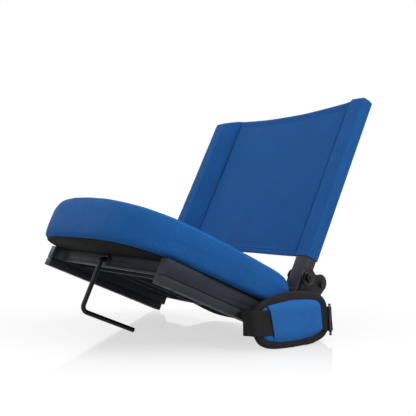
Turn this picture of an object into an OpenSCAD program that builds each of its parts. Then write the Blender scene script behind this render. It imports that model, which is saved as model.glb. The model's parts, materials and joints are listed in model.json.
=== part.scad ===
// Bleacher seat. A moulded base stands on a bench plank and carries a thick
// seat cushion. A back of two posts and stretched fabric folds forward between
// two steel brackets. A wire hook under the front grips the plank from below,
// and a padded webbing strap hangs at one side for carrying.
// Millimetres. +Z is up, -Y is the front and +X is the sitter's left.
// The origin is on the plane that the feet stand on, midway between their ends.

/* [Base] */
// Width over the two side rails
base_w = 432; // [390:2:500]
// Length of the foot under each side rail
foot_l = 270; // [240:2:330]
// How far the side rail runs on behind its foot
rail_tail = 7; // [2:1:12]
// Height of the base, up to the cushion board
base_h = 38; // [36:1:46]
// Width of each side rail
rail_w = 21; // [18:1:28]
// Height of the foot under each side rail
foot_h = 13; // [10:1:15]
// How far the foot stands out past the side of its rail
foot_proud = 1; // [0.5:0.5:2]
// Height of the shadow groove between foot and rail
groove_h = 1.4; // [1:0.2:2.4]
// Wall of the moulding
wall_t = 3; // [2.4:0.2:4]
// Thickness of the deck
deck_t = 3; // [2.4:0.2:3.6]
// How far the front wall stands behind the ends of the rails
front_set = 19; // [17:1:26]
// Clear height under the front wall
front_clear = 16.5; // [16:0.5:18]
// Clear height under the rear wall
rear_clear = 30; // [26:1:31]
// Radius of the hollow corners between the front wall and the rails
corner_r = 16; // [10:1:16]
// Radius of the rolled lip under the front wall
lip_r = 2.6; // [2:0.2:3]
// Thickness of the ribs under the deck
rib_t = 3; // [2:0.5:5]
// Depth of the lengthwise ribs under the deck
rib_h = 8; // [5:1:9]
// Distance between the lengthwise ribs
rib_pitch = 65; // [55:5:80]

/* [Seat] */
// How far the cushion stands out past each side of the base
seat_over = 13; // [6:1:16]
// Distance from the origin to the front of the cushion
seat_front = 200; // [180:1:215]
// Gap between the cushion's rear edge and the posts
rear_gap = 7; // [7:1:15]
// Height of the cushion's sides at the left and right
seat_side = 54; // [48:1:56]
// How far the middle stands higher than the left and right sides
seat_arch = 16; // [4:1:18]
// How far the crown rises above the edge
seat_crown = 12; // [4:1:14]
// How far the filling stands higher at the sitter's right than at the left
seat_uneven = 8; // [0:1:8]
// How far the filling falls towards the rear edge
rear_fall = 9; // [7:1:14]
// Roundness of the front corners, higher is squarer
front_square = 3.4; // [3:0.2:6]
// Roundness of the rear corners, higher is squarer
rear_square = 12; // [6:0.5:14]
// Thickness of the cushion board
board_t = 5; // [4:0.5:8]
// How far the board's edge lies inside the cushion's
board_set = 16; // [15:0.5:20]

/* [Back] */
// Height of the back's pivot above the plank
pivot_h = 105.5; // [104:0.5:112]
// Distance of the pivot ahead of the rear end of the rails
pivot_set = 21; // [18:0.5:21]
// Length of each post above the pivot
post_l = 334; // [260:2:400]
// Length of each post below the pivot
post_tail = 26; // [20:1:27]
// Width of each post, side to side
post_w = 29; // [24:1:30]
// Depth of each post, front to back
post_d = 22; // [18:1:23]
// Wall of each post
post_wall = 1.6; // [1.2:0.1:2.4]
// How far the middle of each post lies inside the side of the base
post_set = 11.5; // [9:0.5:14]
// Backward lean of the posts at rest
back_lean = 2.7; // [0:0.1:3]
// Thickness of the back fabric with its lining
fabric_t = 1.2; // [0.8:0.1:1.6]
// Height of the sleeves' lower hem above the pivot
sleeve_low = 32; // [30:1:60]
// Height of the panel's lower hem above the pivot
panel_low = 39; // [36:1:80]
// How far the panel's top corners rise above the posts
panel_rise = 14; // [6:1:18]
// Sag of the panel's top edge at its middle
panel_sag = 9; // [2:1:12]

/* [Brackets] */
// Thickness of the bracket sheet
sheet_t = 2.5; // [2:0.1:3]
// Gap between the posts and the bracket cheeks
cheek_gap = 1.5; // [1:0.1:2]
// Radius of the bracket's rounded ears
ear_r = 15; // [13:0.5:15]
// Distance of the brace bolt behind the pivot
brace_back = 34; // [33:0.5:38]
// Diameter of the pivot bolt
bolt_d = 8; // [6:0.5:8.5]
// Diameter of the cover disc on the pivot bolt
disc_d = 29; // [22:1:29]
// Diameter of the brace bolt
brace_d = 6; // [4:0.5:7]

/* [Hook] */
// Diameter of the hook's rod
rod_d = 8; // [6:0.5:8]
// Height of the hook's pivot above the plank
hook_h = 28.6; // [28:0.2:29]
// Drop from the hook's pivot to its lower leg
hook_drop = 93; // [70:1:120]
// Reach of the lower leg under the plank
hook_reach = 106; // [70:1:140]
// Radius of the lower bend at the middle of the rod
hook_bend = 11; // [9:0.5:16]
// Radius of the upper bend at the middle of the rod
hook_top_bend = 7; // [6:0.5:8]
// Diameter of the hook bush
bush_d = 16; // [14:0.5:17]
// Length of rod inside the base
rod_in = 60; // [50:1:80]

/* [Strap] */
// Width of the webbing
web_w = 38; // [25:1:40]
// Thickness of the webbing
web_t = 1.6; // [1.2:0.1:2]
// Length of the shoulder pad
pad_l = 148; // [130:1:170]
// Height of the shoulder pad
pad_h = 86; // [70:1:87]
// Thickness of the shoulder pad
pad_t = 13; // [9:1:14]
// Width of the binding round the pad
bind_w = 6; // [4:0.5:8]
// Length of the sleeve on the pad
loop_l = 104; // [70:1:110]
// Height of the sleeve on the pad
loop_h = 58; // [50:1:64]
// Slope of the strap along the side of the seat
strap_tilt = 22; // [15:1:25]
// How far the pad leans in against the seat
pad_lean = 8; // [0:1:10]
// Distance of the pad's middle ahead of the rear end of the rails
pad_ahead = 49.5; // [45:0.5:58]
// Height of the pad's middle above the plank
pad_z = 30; // [29:1:40]
// Distance from the side of the base to the pad's inner face
pad_set = 19; // [18:1:24]

/* [Hidden] */
// Running clearance of pins in their holes
fit = 0.05;
// Clearance between separate pieces
gap = 0.3;

// Base
half_w = base_w / 2;
rail_in = half_w - rail_w;
rail_x = half_w - rail_w / 2;
foot_y0 = -foot_l / 2;
foot_y1 = foot_l / 2;
rail_y0 = foot_y0;
rail_y1 = foot_y1 + rail_tail;
rail_l = rail_y1 - rail_y0;
rail_z0 = foot_h + groove_h;
deck_z = base_h - deck_t;
wall_y = rail_y0 + front_set;
corner_bevel = 1.5;
rim_h = 4;
rim_proud = 1;
tongue_w = rail_w - 2 * wall_t - 2 * gap;
tongue_h = 6;
shoulder_set = 2;
foot_screw_d = 5;
foot_screw_head = 9;
foot_screw_set = 30;
foot_screw_ys = [foot_y0 + foot_screw_set, 0, foot_y1 - foot_screw_set];
foot_boss_d = 11;
rib_y1 = rail_y1 - 25;
cross_rib_y = wall_y + rod_in - 14;
cross_rib_z = front_clear + 3.5;
hook_boss_r = bush_d / 2 + 2.6;

// Seat
pivot_y = rail_y1 - pivot_set;
side_x = half_w + seat_over;
seat_rear = pivot_y - post_d / 2 - rear_gap;
seat_z = base_h + board_t + gap;
skirt_z = base_h + 1.2;
seat_edge_z = base_h + seat_side;
ring_n = 64;
pad_n = 48;
board_screw_d = 4;
board_screw_head = 8;
draw_in = 12;
board_screw_xs = [-rib_pitch * 2.4, 0, rib_pitch * 2.4];

// Back
post_x = half_w - post_set;
bush_wall = 1.6;
bush_r = bolt_d / 2 + fit + bush_wall;
sleeve_w = post_w + 2 * (gap + fabric_t);
sleeve_d = post_d + 2 * (gap + fabric_t);
cap_t = 2;
sleeve_top = post_l + cap_t + gap + fabric_t;
cap_plug = 14;
plug_fit = 0.1;

// Brackets
cheek_in = post_x - post_w / 2 - cheek_gap;
cheek_out = post_x + post_w / 2 + cheek_gap;
web_x0 = cheek_in - sheet_t;
web_x1 = cheek_out + sheet_t;
web_z1 = base_h + sheet_t;
tab_gap = 0.3;
tab_h = 44;
tab_z = base_h + tab_h;
tab_y = pivot_y - post_d / 2 * cos(back_lean) - post_tail * sin(back_lean) - tab_gap;
brace_y = pivot_y + brace_back;
brace_z = pivot_h - 1;
hub_r = 11;
ear_y = brace_y - 4;
stem_y0 = tab_y + 6;
head_h = 5;
head_d = bolt_d * 1.75;
nut_h = 6;
nut_d = bolt_d * 1.75;
disc_t = 2;
seat_bolt_d = 6;
seat_bolt_ys = [tab_y + 8, rail_y1 - 9];

// Hook
rod_r = rod_d / 2;
leg_y = wall_y - 12.6;
bush_y0 = wall_y - 5.5;
bush_y1 = wall_y + wall_t + 4;
flange_t = 2.4;
rod_end_y = wall_y + rod_in;
board_screw_ys = [rod_end_y + board_screw_head, seat_rear * 0.6];
tip_y = leg_y + hook_reach;
hook_z = hook_h - hook_drop;

// Strap
pad_x = half_w + pad_set;
pad_y = rail_y1 - pad_ahead;
half_pad = pad_l / 2;
web_n = -4;
web_x = pad_x + pad_t + gap + web_t / 2;
clamp_t = 2;
clamp_screw_d = 4;
clamp_head_h = 2.2;
spacer_t = 1.8;
near_x = half_w + spacer_t + fit + web_t / 2;
near_clamp_x = near_x + web_t / 2 + fit + clamp_t;
near_e0 = -20;
near_e1 = 2;
near_n = -13;
near_screw_es = [-15, -3];
slider_e = half_pad + 2.5;
bar_step = 6.8;
bar_w = 2;
slider_t = 1.6;
slider_w = web_w + 8;
wave = slider_t / 2 + web_t / 2 + 1.2;
loop_t = 1.5;
loop_e = 5;
stand_t = 2.5;
stand_w = 38;
stand_x0 = 11 - rail_in;
stand_x1 = stand_x0 + stand_w;
stand_y = rail_y1 + stand_t;
stand_z = base_h + 15;
far_y = stand_y + fit + web_t / 2;
far_clamp_y = far_y + web_t / 2 + fit + clamp_t;
far_screw_xs = [stand_x0 + 10, stand_x1 - 10];
stand_foot = 18;
stand_screw_y = rail_y1 - 11;

// A point of the strap beside the seat: distance along the pad, distance from
// the centre plane, height across the pad and lean
function side_row(e, x, n, lean) = [x, pad_y + e * cos(strap_tilt) - n * sin(strap_tilt),
    pad_z + e * sin(strap_tilt) + n * cos(strap_tilt), strap_tilt, lean];

// A point where the strap passes outside or inside a bar of the slider
function woven_row(e, side) = side_row(e, web_x + side * wave * cos(pad_lean),
    web_n + side * wave * sin(pad_lean), pad_lean);

// A point of the strap behind the base: share of the way from the far anchor
// to the near side, distance behind the rails, height above the base and tilt
function rear_row(share, back, rise, tilt) = [stand_x1 + share * (half_w - stand_x1), rail_y1 + back,
    base_h + rise, tilt, 0];

// The strap from the near anchor round to the far one: position, tilt, lean
strap_row = [
    side_row(near_e1, near_x, near_n, 0), side_row(near_e0 + 11, near_x, near_n, 0),
    side_row(near_e0, near_x, near_n, 0), side_row(near_e0 - 5, near_x, near_n, 0),
    side_row(30 - half_pad, near_x + 0.6, near_n + 2, 0), side_row(8 - half_pad, near_x + 2, -8, 1),
    side_row(-half_pad - 3, near_x + 4.6, -6.5, 2), side_row(-half_pad - 7.5, near_x + 10, -5.5, 3),
    side_row(-half_pad - 7.5, near_x + 18, -5, 5), side_row(-half_pad - 5, web_x - 4.2, -4.5, 7),
    side_row(0.5 - half_pad, web_x - 0.1, web_n, pad_lean), side_row(8 - half_pad, web_x, web_n, pad_lean),
    side_row(0, web_x, web_n, pad_lean), side_row(half_pad - 13, web_x, web_n, pad_lean),
    woven_row(slider_e - bar_step, 1), woven_row(slider_e, -1), woven_row(slider_e + bar_step, 1),
    side_row(slider_e + bar_step + 7, web_x - 0.5, web_n - 0.8, pad_lean),
    side_row(slider_e + 20.5, half_w + 24, -8, 4), side_row(slider_e + 25.5, half_w + 9, -13, 0),
    rear_row(0.956, 47, 13, 21), rear_row(0.818, 46, 10, 20), rear_row(0.68, 43, 8, 19),
    rear_row(0.541, 39, 5.6, 17), rear_row(0.442, 35.6, 4.5, 15.5), rear_row(0.387, 33.2, 4, 14.5),
    rear_row(0.331, 30, 3.3, 13), rear_row(0.257, 25.6, 4, 11), rear_row(0.188, 20, 7.2, 8),
    rear_row(0.113, 12.8, 12, 4), rear_row(0.069, 8, 14.4, 1.5),
    [stand_x1 + 14, far_y + 1.6, stand_z, 0, 0],
    [stand_x1 + 6, far_y + 0.2, stand_z, 0, 0], [stand_x1, far_y, stand_z, 0, 0],
    [(stand_x0 + stand_x1) / 2, far_y, stand_z, 0, 0], [stand_x0, far_y, stand_z, 0, 0]
];
web_steps = 3;

// A rectangle with bevelled corners, centred on the origin
module bevel_rect(w, d, b) {
    polygon([
        [-w / 2 + b, -d / 2], [w / 2 - b, -d / 2], [w / 2, -d / 2 + b], [w / 2, d / 2 - b],
        [w / 2 - b, d / 2], [-w / 2 + b, d / 2], [-w / 2, d / 2 - b], [-w / 2, -d / 2 + b]
    ]);
}

// A bar along Y from y0 to y1 and from z0 to z1, centred on x
module bar_y(x, w, y0, y1, z0, z1) {
    translate([x - w / 2, y0, z0]) cube([w, y1 - y0, z1 - z0]);
}

// A rod along X from x0 to x1
module rod_x(x0, x1, y, z, r) {
    translate([x0, y, z]) rotate([0, 90, 0]) cylinder(h = x1 - x0, r = r, $fn = 32);
}

// A rod along Y from y0 to y1
module rod_y(y0, y1, x, z, r) {
    translate([x, y0, z]) rotate([-90, 0, 0]) cylinder(h = y1 - y0, r = r, $fn = 32);
}

// A hexagonal head or nut along X, with its flats d apart
module hex_x(x0, x1, y, z, d) {
    translate([x0, y, z]) rotate([0, 90, 0]) cylinder(h = x1 - x0, d = d / cos(30), $fn = 6);
}

module both_sides() {
    children();
    mirror([1, 0, 0]) children();
}

// Places a child in the frame of the shoulder pad: X outwards, Y along, Z across
module pad_frame() {
    translate([0, pad_y, pad_z]) rotate([strap_tilt, 0, 0]) children();
}

// Places a child in the frame of the leaning back, with its origin at the pivot
module back_frame() {
    translate([0, pivot_y, pivot_h]) rotate([-back_lean, 0, 0]) children();
}

function flat(rows) = [for (row = rows) for (item = row) item];
function middle(ring) = [for (k = [0:2]) lookup_mean([for (p = ring) p[k]])];
function lookup_mean(v) = sum_of(v, len(v) - 1) / len(v);
function sum_of(v, i) = i < 0 ? 0 : v[i] + sum_of(v, i - 1);
function swell(v, n) = sign(v) * pow(abs(v), 2 / n);

// A closed skin over rings that have the same number of points
module skin(rings) {
    n = len(rings[0]);
    last = len(rings) - 1;
    points = concat(flat(rings), [middle(rings[0]), middle(rings[last])]);
    low = (last + 1) * n;
    sides = [for (j = [0:last - 1]) for (i = [0:n - 1])
        each [[j * n + i, (j + 1) * n + i, (j + 1) * n + (i + 1) % n],
            [j * n + i, (j + 1) * n + (i + 1) % n, j * n + (i + 1) % n]]];
    floor_faces = [for (i = [0:n - 1]) [low, i, (i + 1) % n]];
    top_faces = [for (i = [0:n - 1]) [low + 1, last * n + (i + 1) % n, last * n + i]];
    polyhedron(points = points, faces = concat(sides, floor_faces, top_faces), convexity = 6);
}

// Outline of the cushion in plan, drawn in by a distance, at one height
function seat_ring(inset, z) = [for (i = [0:ring_n - 1])
    let (c = cos(360 * i / ring_n), s = sin(360 * i / ring_n))
    s < 0
        ? [(side_x - inset) * swell(c, front_square), (seat_front - inset) * swell(s, front_square), z]
        : [(side_x - inset) * swell(c, rear_square), (seat_rear - inset) * swell(s, rear_square), z]];

// The filling: the middle stands higher than the sides, one side stands
// higher than the other, and the rear falls away
function filling(x, y) = seat_arch * (1 - pow(x / side_x, 2)) - seat_uneven / 2 * x / side_x
    - rear_fall * pow(max(0, y) / seat_rear, 2);
// A ring of the cushion, raised by a share of the filling
function full_ring(inset, z, share) = [for (p = seat_ring(inset, z))
    [p[0], p[1], z + share * filling(p[0], p[1])]];

// The crown of the cushion: rings shrink towards the middle as they rise
function crown_ring(share) = [for (p = seat_ring(24, 0)) let (x = p[0] * share, y = p[1] * share)
    [x, y, seat_edge_z + 7 + seat_crown * (1 - pow(share, 2)) + filling(x, y)]];

// Outline of the pad in its own frame, drawn in by a distance, at one x: the
// upper edge falls towards the front and the lower one rises towards the rear
function pad_ring(inset, x) = [for (i = [0:pad_n - 1])
    let (c = cos(360 * i / pad_n), s = sin(360 * i / pad_n), u = swell(c, 4))
    [x, (pad_l / 2 - inset) * u,
        (pad_h / 2 - inset) * swell(s, 3.4) * (s > 0 ? 1 - 0.3 * max(0, -u) : 1 - 0.08 * max(0, u))]];

module rail_shell() {
    difference() {
        translate([rail_x, rail_y0 + rail_l / 2, rail_z0])
            linear_extrude(base_h - rail_z0) bevel_rect(rail_w, rail_l, corner_bevel);
        bar_y(rail_x, rail_w - 2 * wall_t, rail_y0 + wall_t, rail_y1 - wall_t, rail_z0 - 1, deck_z);
    }
    for (y = foot_screw_ys)
        translate([rail_x, y, rail_z0 + tongue_h])
            difference() {
                cylinder(h = deck_z - rail_z0 - tongue_h + 0.5, d = foot_boss_d, $fn = 32);
                translate([0, 0, -1])
                    cylinder(h = deck_z - rail_z0 - tongue_h - 1, d = foot_screw_d + 2 * fit, $fn = 32);
            }
}

// The front wall in plan, with hollow corners where it meets the rails
module front_wall_plan() {
    translate([-rail_in, wall_y]) square([2 * rail_in, wall_t]);
    for (side = [-1, 1])
        difference() {
            translate([side * (rail_in - corner_r / 2), wall_y - corner_r / 2])
                square([corner_r, corner_r], center = true);
            translate([side * (rail_in - corner_r), wall_y - corner_r]) circle(r = corner_r, $fn = 64);
        }
}

module base_tray() color("#2b2b2e") difference() {
    union() {
        both_sides() rail_shell();
        translate([-rail_in, wall_y, deck_z]) cube([2 * rail_in, rail_y1 - wall_y, deck_t]);
        translate([0, 0, front_clear]) linear_extrude(base_h - front_clear) front_wall_plan();
        translate([-rail_in + corner_r, wall_y - rim_proud, base_h - rim_h])
            cube([2 * (rail_in - corner_r), rim_proud + 0.5, rim_h]);
        rod_x(-rail_in + corner_r, rail_in - corner_r, wall_y, front_clear + lip_r, lip_r);
        translate([-rail_in, rail_y1 - wall_t, rear_clear])
            cube([2 * rail_in, wall_t, base_h - rear_clear]);
        for (i = [-2:2])
            if (i != 0)
                bar_y(i * rib_pitch, rib_t, wall_y + wall_t - 0.5, rib_y1, deck_z - rib_h, deck_z + 0.5);
        translate([-rail_in, cross_rib_y, cross_rib_z])
            cube([2 * rail_in, rib_t, deck_z + 0.5 - cross_rib_z]);
        translate([-rail_in, rib_y1 - 0.5, deck_z - rib_h])
            cube([2 * rail_in, rib_t, rib_h + 0.5]);
        rod_y(wall_y - 3, wall_y + wall_t + 1, 0, hook_h, hook_boss_r);
    }
    rod_y(wall_y - 4, bush_y1 + 1, 0, hook_h, bush_d / 2 + fit);
    translate([-hook_boss_r, wall_y - 4, base_h]) cube([2 * hook_boss_r, wall_t + 6, 4]);
    rod_y(cross_rib_y - 1, cross_rib_y + rib_t + 1, 0, hook_h, rod_r + gap);
    for (x = board_screw_xs) for (y = board_screw_ys)
        translate([x, y, deck_z - 1]) cylinder(h = deck_t + 2, d = board_screw_d + 2 * fit, $fn = 32);
    for (x = [-rail_x, rail_x]) for (y = seat_bolt_ys)
        translate([x, y, deck_z - 1]) cylinder(h = deck_t + 2, d = seat_bolt_d + 2 * fit, $fn = 32);
    for (x = far_screw_xs) translate([x, stand_screw_y, deck_z - 6])
        cylinder(h = deck_t + 7, d = clamp_screw_d + 2 * fit, $fn = 32);
    near_holes(half_w - wall_t - 1, half_w + 1, clamp_screw_d / 2 + fit);
}

// One foot: a slab under the rail, a shoulder that makes the groove and a
// tongue that fits up into the hollow rail
module foot_rail() {
    difference() {
        union() {
            translate([rail_x, 0, 0]) linear_extrude(foot_h)
                bevel_rect(rail_w + 2 * foot_proud, foot_l, corner_bevel);
            bar_y(rail_x, rail_w - 2 * shoulder_set, foot_y0 + shoulder_set,
                foot_y1 - shoulder_set, foot_h - 0.5, rail_z0);
            bar_y(rail_x, tongue_w, rail_y0 + wall_t + gap, foot_y1 - wall_t - gap,
                rail_z0 - 0.5, rail_z0 + tongue_h - gap);
        }
        for (y = foot_screw_ys) translate([rail_x, y, -1]) {
            cylinder(h = 4 + 1, d = foot_screw_head + 2 * gap, $fn = 32);
            cylinder(h = rail_z0 + tongue_h + 2, d = foot_screw_d + 2 * fit, $fn = 32);
        }
    }
}

module foot_rail_left() color("#333336") foot_rail();

module foot_rail_right() color("#333336") mirror([1, 0, 0]) foot_rail();

module foot_screws() color("#55565a") both_sides()
    for (y = foot_screw_ys) translate([rail_x, y, 0]) {
        translate([0, 0, 1.2]) cylinder(h = 2.8, d = foot_screw_head, $fn = 32);
        translate([0, 0, 4]) cylinder(h = deck_z - 6, d = foot_screw_d, $fn = 32);
    }

module cushion_board() color("#202022") difference() {
    translate([0, 0, base_h]) linear_extrude(board_t)
        polygon([for (p = seat_ring(board_set, 0)) [p[0], p[1]]]);
    for (x = board_screw_xs) for (y = board_screw_ys)
        translate([x, y, base_h - 1]) cylinder(h = board_t, d = board_screw_d + 2 * fit, $fn = 32);
}

module board_screws() color("#55565a")
    for (x = board_screw_xs) for (y = board_screw_ys) {
        translate([x, y, deck_z - 2]) cylinder(h = 2, d = board_screw_head, $fn = 32);
        translate([x, y, deck_z]) cylinder(h = deck_t + board_t - 1.2, d = board_screw_d, $fn = 32);
    }

// The cushion: a skirt round the board, drawn-in lower sides, a full waist, a
// rounded upper edge and a crown
module seat_cushion() color("#1f5fa8") skin(concat(
    [
        seat_ring(board_set - gap, seat_z), seat_ring(board_set - gap, skirt_z),
        seat_ring(draw_in, skirt_z - 0.4), seat_ring(draw_in - 3, skirt_z + 1.2),
        full_ring(4, base_h + 6, 0.1), full_ring(0.8, base_h + 13, 0.2),
        full_ring(0, base_h + 22, 0.35), full_ring(0.4, base_h + 32, 0.55),
        full_ring(1.5, seat_edge_z - 13, 0.75), full_ring(4, seat_edge_z - 6, 0.9),
        full_ring(9.5, seat_edge_z, 1), full_ring(16, seat_edge_z + 4, 1)
    ],
    [for (share = [1, 0.93, 0.83, 0.68, 0.48, 0.24]) crown_ring(share)]
));

module hook_bush() color("#1a1a1b") difference() {
    union() {
        rod_y(bush_y0 + flange_t, bush_y1, 0, hook_h, bush_d / 2);
        rod_y(bush_y0, bush_y0 + flange_t, 0, hook_h, bush_d / 2 + 1.2);
    }
    rod_y(bush_y0 - 1, bush_y1 + 1, 0, hook_h, rod_r + fit);
}

// The cheek of a bracket in side view: a stem that rises from the rail to one
// ear round the pivot and one ear behind it
module cheek_plan() {
    polygon([
        [stem_y0, base_h], [rail_y1 - 1, base_h], [ear_y + ear_r * 0.9, pivot_h - ear_r * 0.4],
        [ear_y, pivot_h + ear_r * 0.7], [pivot_y, pivot_h + ear_r * 0.7], [pivot_y - 9, pivot_h - 6]
    ]);
    translate([pivot_y, pivot_h]) circle(r = hub_r, $fn = 64);
    translate([ear_y, pivot_h]) circle(r = ear_r, $fn = 64);
}

module bracket() difference() {
    union() {
        for (x = [web_x0, cheek_out])
            translate([x, 0, 0]) rotate([90, 0, 90]) linear_extrude(sheet_t) cheek_plan();
        translate([web_x0, tab_y - sheet_t, base_h])
            cube([web_x1 - web_x0, rail_y1 - 1 - tab_y + sheet_t, sheet_t]);
        translate([cheek_in + 1, tab_y - sheet_t, base_h])
            cube([cheek_out - cheek_in - 2, sheet_t, tab_h]);
    }
    rod_x(web_x0 - 1, web_x1 + 1, pivot_y, pivot_h, bolt_d / 2 + fit);
    rod_x(web_x0 - 1, web_x1 + 1, brace_y, brace_z, brace_d / 2 + fit);
    for (y = seat_bolt_ys)
        translate([rail_x, y, base_h - 1]) cylinder(h = sheet_t + 2, d = seat_bolt_d + 2 * fit, $fn = 32);
}

module bracket_left() color("#252527") bracket();

module bracket_right() color("#252527") mirror([1, 0, 0]) bracket();

module bracket_bolts() color("#404145") both_sides()
    for (y = seat_bolt_ys) translate([rail_x, y, 0]) {
        translate([0, 0, web_z1]) cylinder(h = 3.4, d = seat_bolt_d * 1.8, $fn = 32);
        translate([0, 0, deck_z - 8]) cylinder(h = web_z1 - deck_z + 8, d = seat_bolt_d, $fn = 32);
    }

module bracket_nuts() color("#404145") both_sides()
    for (y = seat_bolt_ys) translate([rail_x, y, deck_z - 5])
        difference() {
            cylinder(h = 5, d = seat_bolt_d * 1.7 / cos(30), $fn = 6);
            translate([0, 0, -1]) cylinder(h = 7, d = seat_bolt_d + 2 * fit, $fn = 32);
        }

module pivot_bolts() color("#47484c") both_sides() {
    rod_x(web_x0 - head_h, web_x0, pivot_y, pivot_h, head_d / 2);
    rod_x(web_x0, web_x1 + disc_t + nut_h + 2, pivot_y, pivot_h, bolt_d / 2);
}

module pivot_discs() color("#19191a") both_sides() difference() {
    rod_x(web_x1, web_x1 + disc_t, pivot_y, pivot_h, disc_d / 2);
    rod_x(web_x1 - 1, web_x1 + disc_t + 1, pivot_y, pivot_h, bolt_d / 2 + fit);
}

module pivot_nuts() color("#47484c") both_sides() difference() {
    hex_x(web_x1 + disc_t, web_x1 + disc_t + nut_h, pivot_y, pivot_h, nut_d);
    rod_x(web_x1, web_x1 + disc_t + nut_h + 1, pivot_y, pivot_h, bolt_d / 2 + fit);
}

module brace_bolts() color("#47484c") both_sides() {
    rod_x(web_x1, web_x1 + 4, brace_y, brace_z, brace_d * 0.85);
    rod_x(web_x0 - 6, web_x1, brace_y, brace_z, brace_d / 2);
}

module brace_spacers() color("#2c2d30") both_sides() difference() {
    rod_x(cheek_in, cheek_out, brace_y, brace_z, brace_d / 2 + 1.2);
    rod_x(cheek_in - 1, cheek_out + 1, brace_y, brace_z, brace_d / 2 + fit);
}

module brace_nuts() color("#47484c") both_sides() difference() {
    hex_x(web_x0 - 5, web_x0, brace_y, brace_z, brace_d * 1.7);
    rod_x(web_x0 - 6, web_x0 + 1, brace_y, brace_z, brace_d / 2 + fit);
}

module post(side) {
    back_frame() translate([side * post_x, 0, 0]) difference() {
        translate([0, 0, -post_tail]) linear_extrude(post_l + post_tail) bevel_rect(post_w, post_d, 1.6);
        translate([0, 0, -post_tail - 1]) linear_extrude(post_l + post_tail + 2)
            bevel_rect(post_w - 2 * post_wall, post_d - 2 * post_wall, 0.6);
        rod_x(-post_w, post_w, 0, 0, bush_r + fit);
    }
}

module back_post_left() color("#37383b") post(1);

module back_post_right() color("#37383b") post(-1);

module post_plug() {
    linear_extrude(cap_t) bevel_rect(post_w, post_d, 1.6);
    translate([0, 0, -cap_plug + 0.5]) linear_extrude(cap_plug)
        bevel_rect(post_w - 2 * post_wall - 2 * plug_fit, post_d - 2 * post_wall - 2 * plug_fit, 1);
}

module post_caps() color("#19191a") back_frame() both_sides()
    translate([post_x, 0, post_l]) post_plug();

module post_end_plugs() color("#19191a") back_frame() both_sides()
    translate([post_x, 0, -post_tail]) mirror([0, 0, 1]) {
        linear_extrude(cap_t - 0.8) bevel_rect(post_w, post_d, 1.6);
        translate([0, 0, -7]) linear_extrude(7.2)
            bevel_rect(post_w - 2 * post_wall - 2 * plug_fit, post_d - 2 * post_wall - 2 * plug_fit, 1);
    }

module pivot_bushes() color("#d8d5cc") both_sides() difference() {
    union() {
        rod_x(post_x - post_w / 2, post_x + post_w / 2, pivot_y, pivot_h, bush_r);
        rod_x(cheek_in + 0.2, post_x - post_w / 2, pivot_y, pivot_h, bush_r + 2.5);
        rod_x(post_x + post_w / 2, cheek_out - 0.2, pivot_y, pivot_h, bush_r + 2.5);
    }
    rod_x(cheek_in - 1, cheek_out + 1, pivot_y, pivot_h, bolt_d / 2 + fit);
}

// Rear sheet of the back in front view, with its top edge hanging in a curve
module back_sheet_plan() {
    edge = post_x - sleeve_w / 2;
    top = post_l + panel_rise;
    polygon(concat(
        [[-post_x - sleeve_w / 2, sleeve_low], [-edge, sleeve_low], [-edge, panel_low],
            [edge, panel_low], [edge, sleeve_low], [post_x + sleeve_w / 2, sleeve_low],
            [post_x + sleeve_w / 2, sleeve_top]],
        [for (i = [12:-1:-12]) let (u = i / 12) [edge * u, top - panel_sag * (1 - u * u)]],
        [[-post_x - sleeve_w / 2, sleeve_top]]
    ));
}

module back_cover() color("#1d5aa0") back_frame() {
    translate([0, sleeve_d / 2, 0]) rotate([90, 0, 0]) linear_extrude(fabric_t) back_sheet_plan();
    both_sides() translate([post_x, 0, sleeve_low]) difference() {
        linear_extrude(sleeve_top - sleeve_low) bevel_rect(sleeve_w, sleeve_d, 2.2);
        translate([0, 0, -1]) linear_extrude(sleeve_top - sleeve_low + 1 - fabric_t)
            bevel_rect(sleeve_w - 2 * fabric_t, sleeve_d - 2 * fabric_t, 1.6);
    }
}

// The hook: an axle through the front wall, a leg down, a leg back
module hook_rod() color("#2a2b2d") {
    rod_y(leg_y + hook_top_bend, rod_end_y, 0, hook_h, rod_r);
    translate([0, leg_y + hook_top_bend, hook_h - hook_top_bend]) rotate([0, -90, 0]) rotate([0, 0, -90])
        rotate_extrude(angle = 90, $fn = 64) translate([hook_top_bend, 0]) circle(r = rod_r, $fn = 32);
    translate([0, leg_y, hook_z + hook_bend])
        cylinder(h = hook_drop - hook_bend - hook_top_bend, r = rod_r, $fn = 48);
    translate([0, leg_y + hook_bend, hook_z + hook_bend]) rotate([0, -90, 0]) rotate([0, 0, 180])
        rotate_extrude(angle = 90, $fn = 64) translate([hook_bend, 0]) circle(r = rod_r, $fn = 32);
    rod_y(leg_y + hook_bend, tip_y, 0, hook_z, rod_r);
}

module hook_washer() color("#55565a") difference() {
    rod_y(cross_rib_y + rib_t + gap, cross_rib_y + rib_t + gap + 1.5, 0, hook_h, rod_r + 2.2);
    rod_y(cross_rib_y, rod_end_y, 0, hook_h, rod_r + fit);
}

module hook_retainer() color("#47484c") difference() {
    rod_y(cross_rib_y + rib_t + gap + 1.5, cross_rib_y + rib_t + gap + 4.5, 0, hook_h, rod_r + 1.7);
    rod_y(cross_rib_y, rod_end_y, 0, hook_h, rod_r + fit);
}

// The strap's middle line: a smooth curve through the rows
function blend_row(a, b, c, d, t) = 0.5 * (2 * b + (c - a) * t
    + (2 * a - 5 * b + 4 * c - d) * t * t + (3 * b - a - 3 * c + d) * t * t * t);
function row_at(i) = strap_row[max(0, min(len(strap_row) - 1, i))];
strap_line = concat(
    [for (i = [0:len(strap_row) - 2]) for (k = [0:web_steps - 1])
        blend_row(row_at(i - 1), row_at(i), row_at(i + 1), row_at(i + 2), k / web_steps)],
    [row_at(len(strap_row) - 1)]
);
function place(row) = [row[0], row[1], row[2]];
function unit(v) = v / norm(v);
function heading(i) = unit(place(strap_line[min(len(strap_line) - 1, i + 1)]) - place(strap_line[max(0, i - 1)]));
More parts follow.
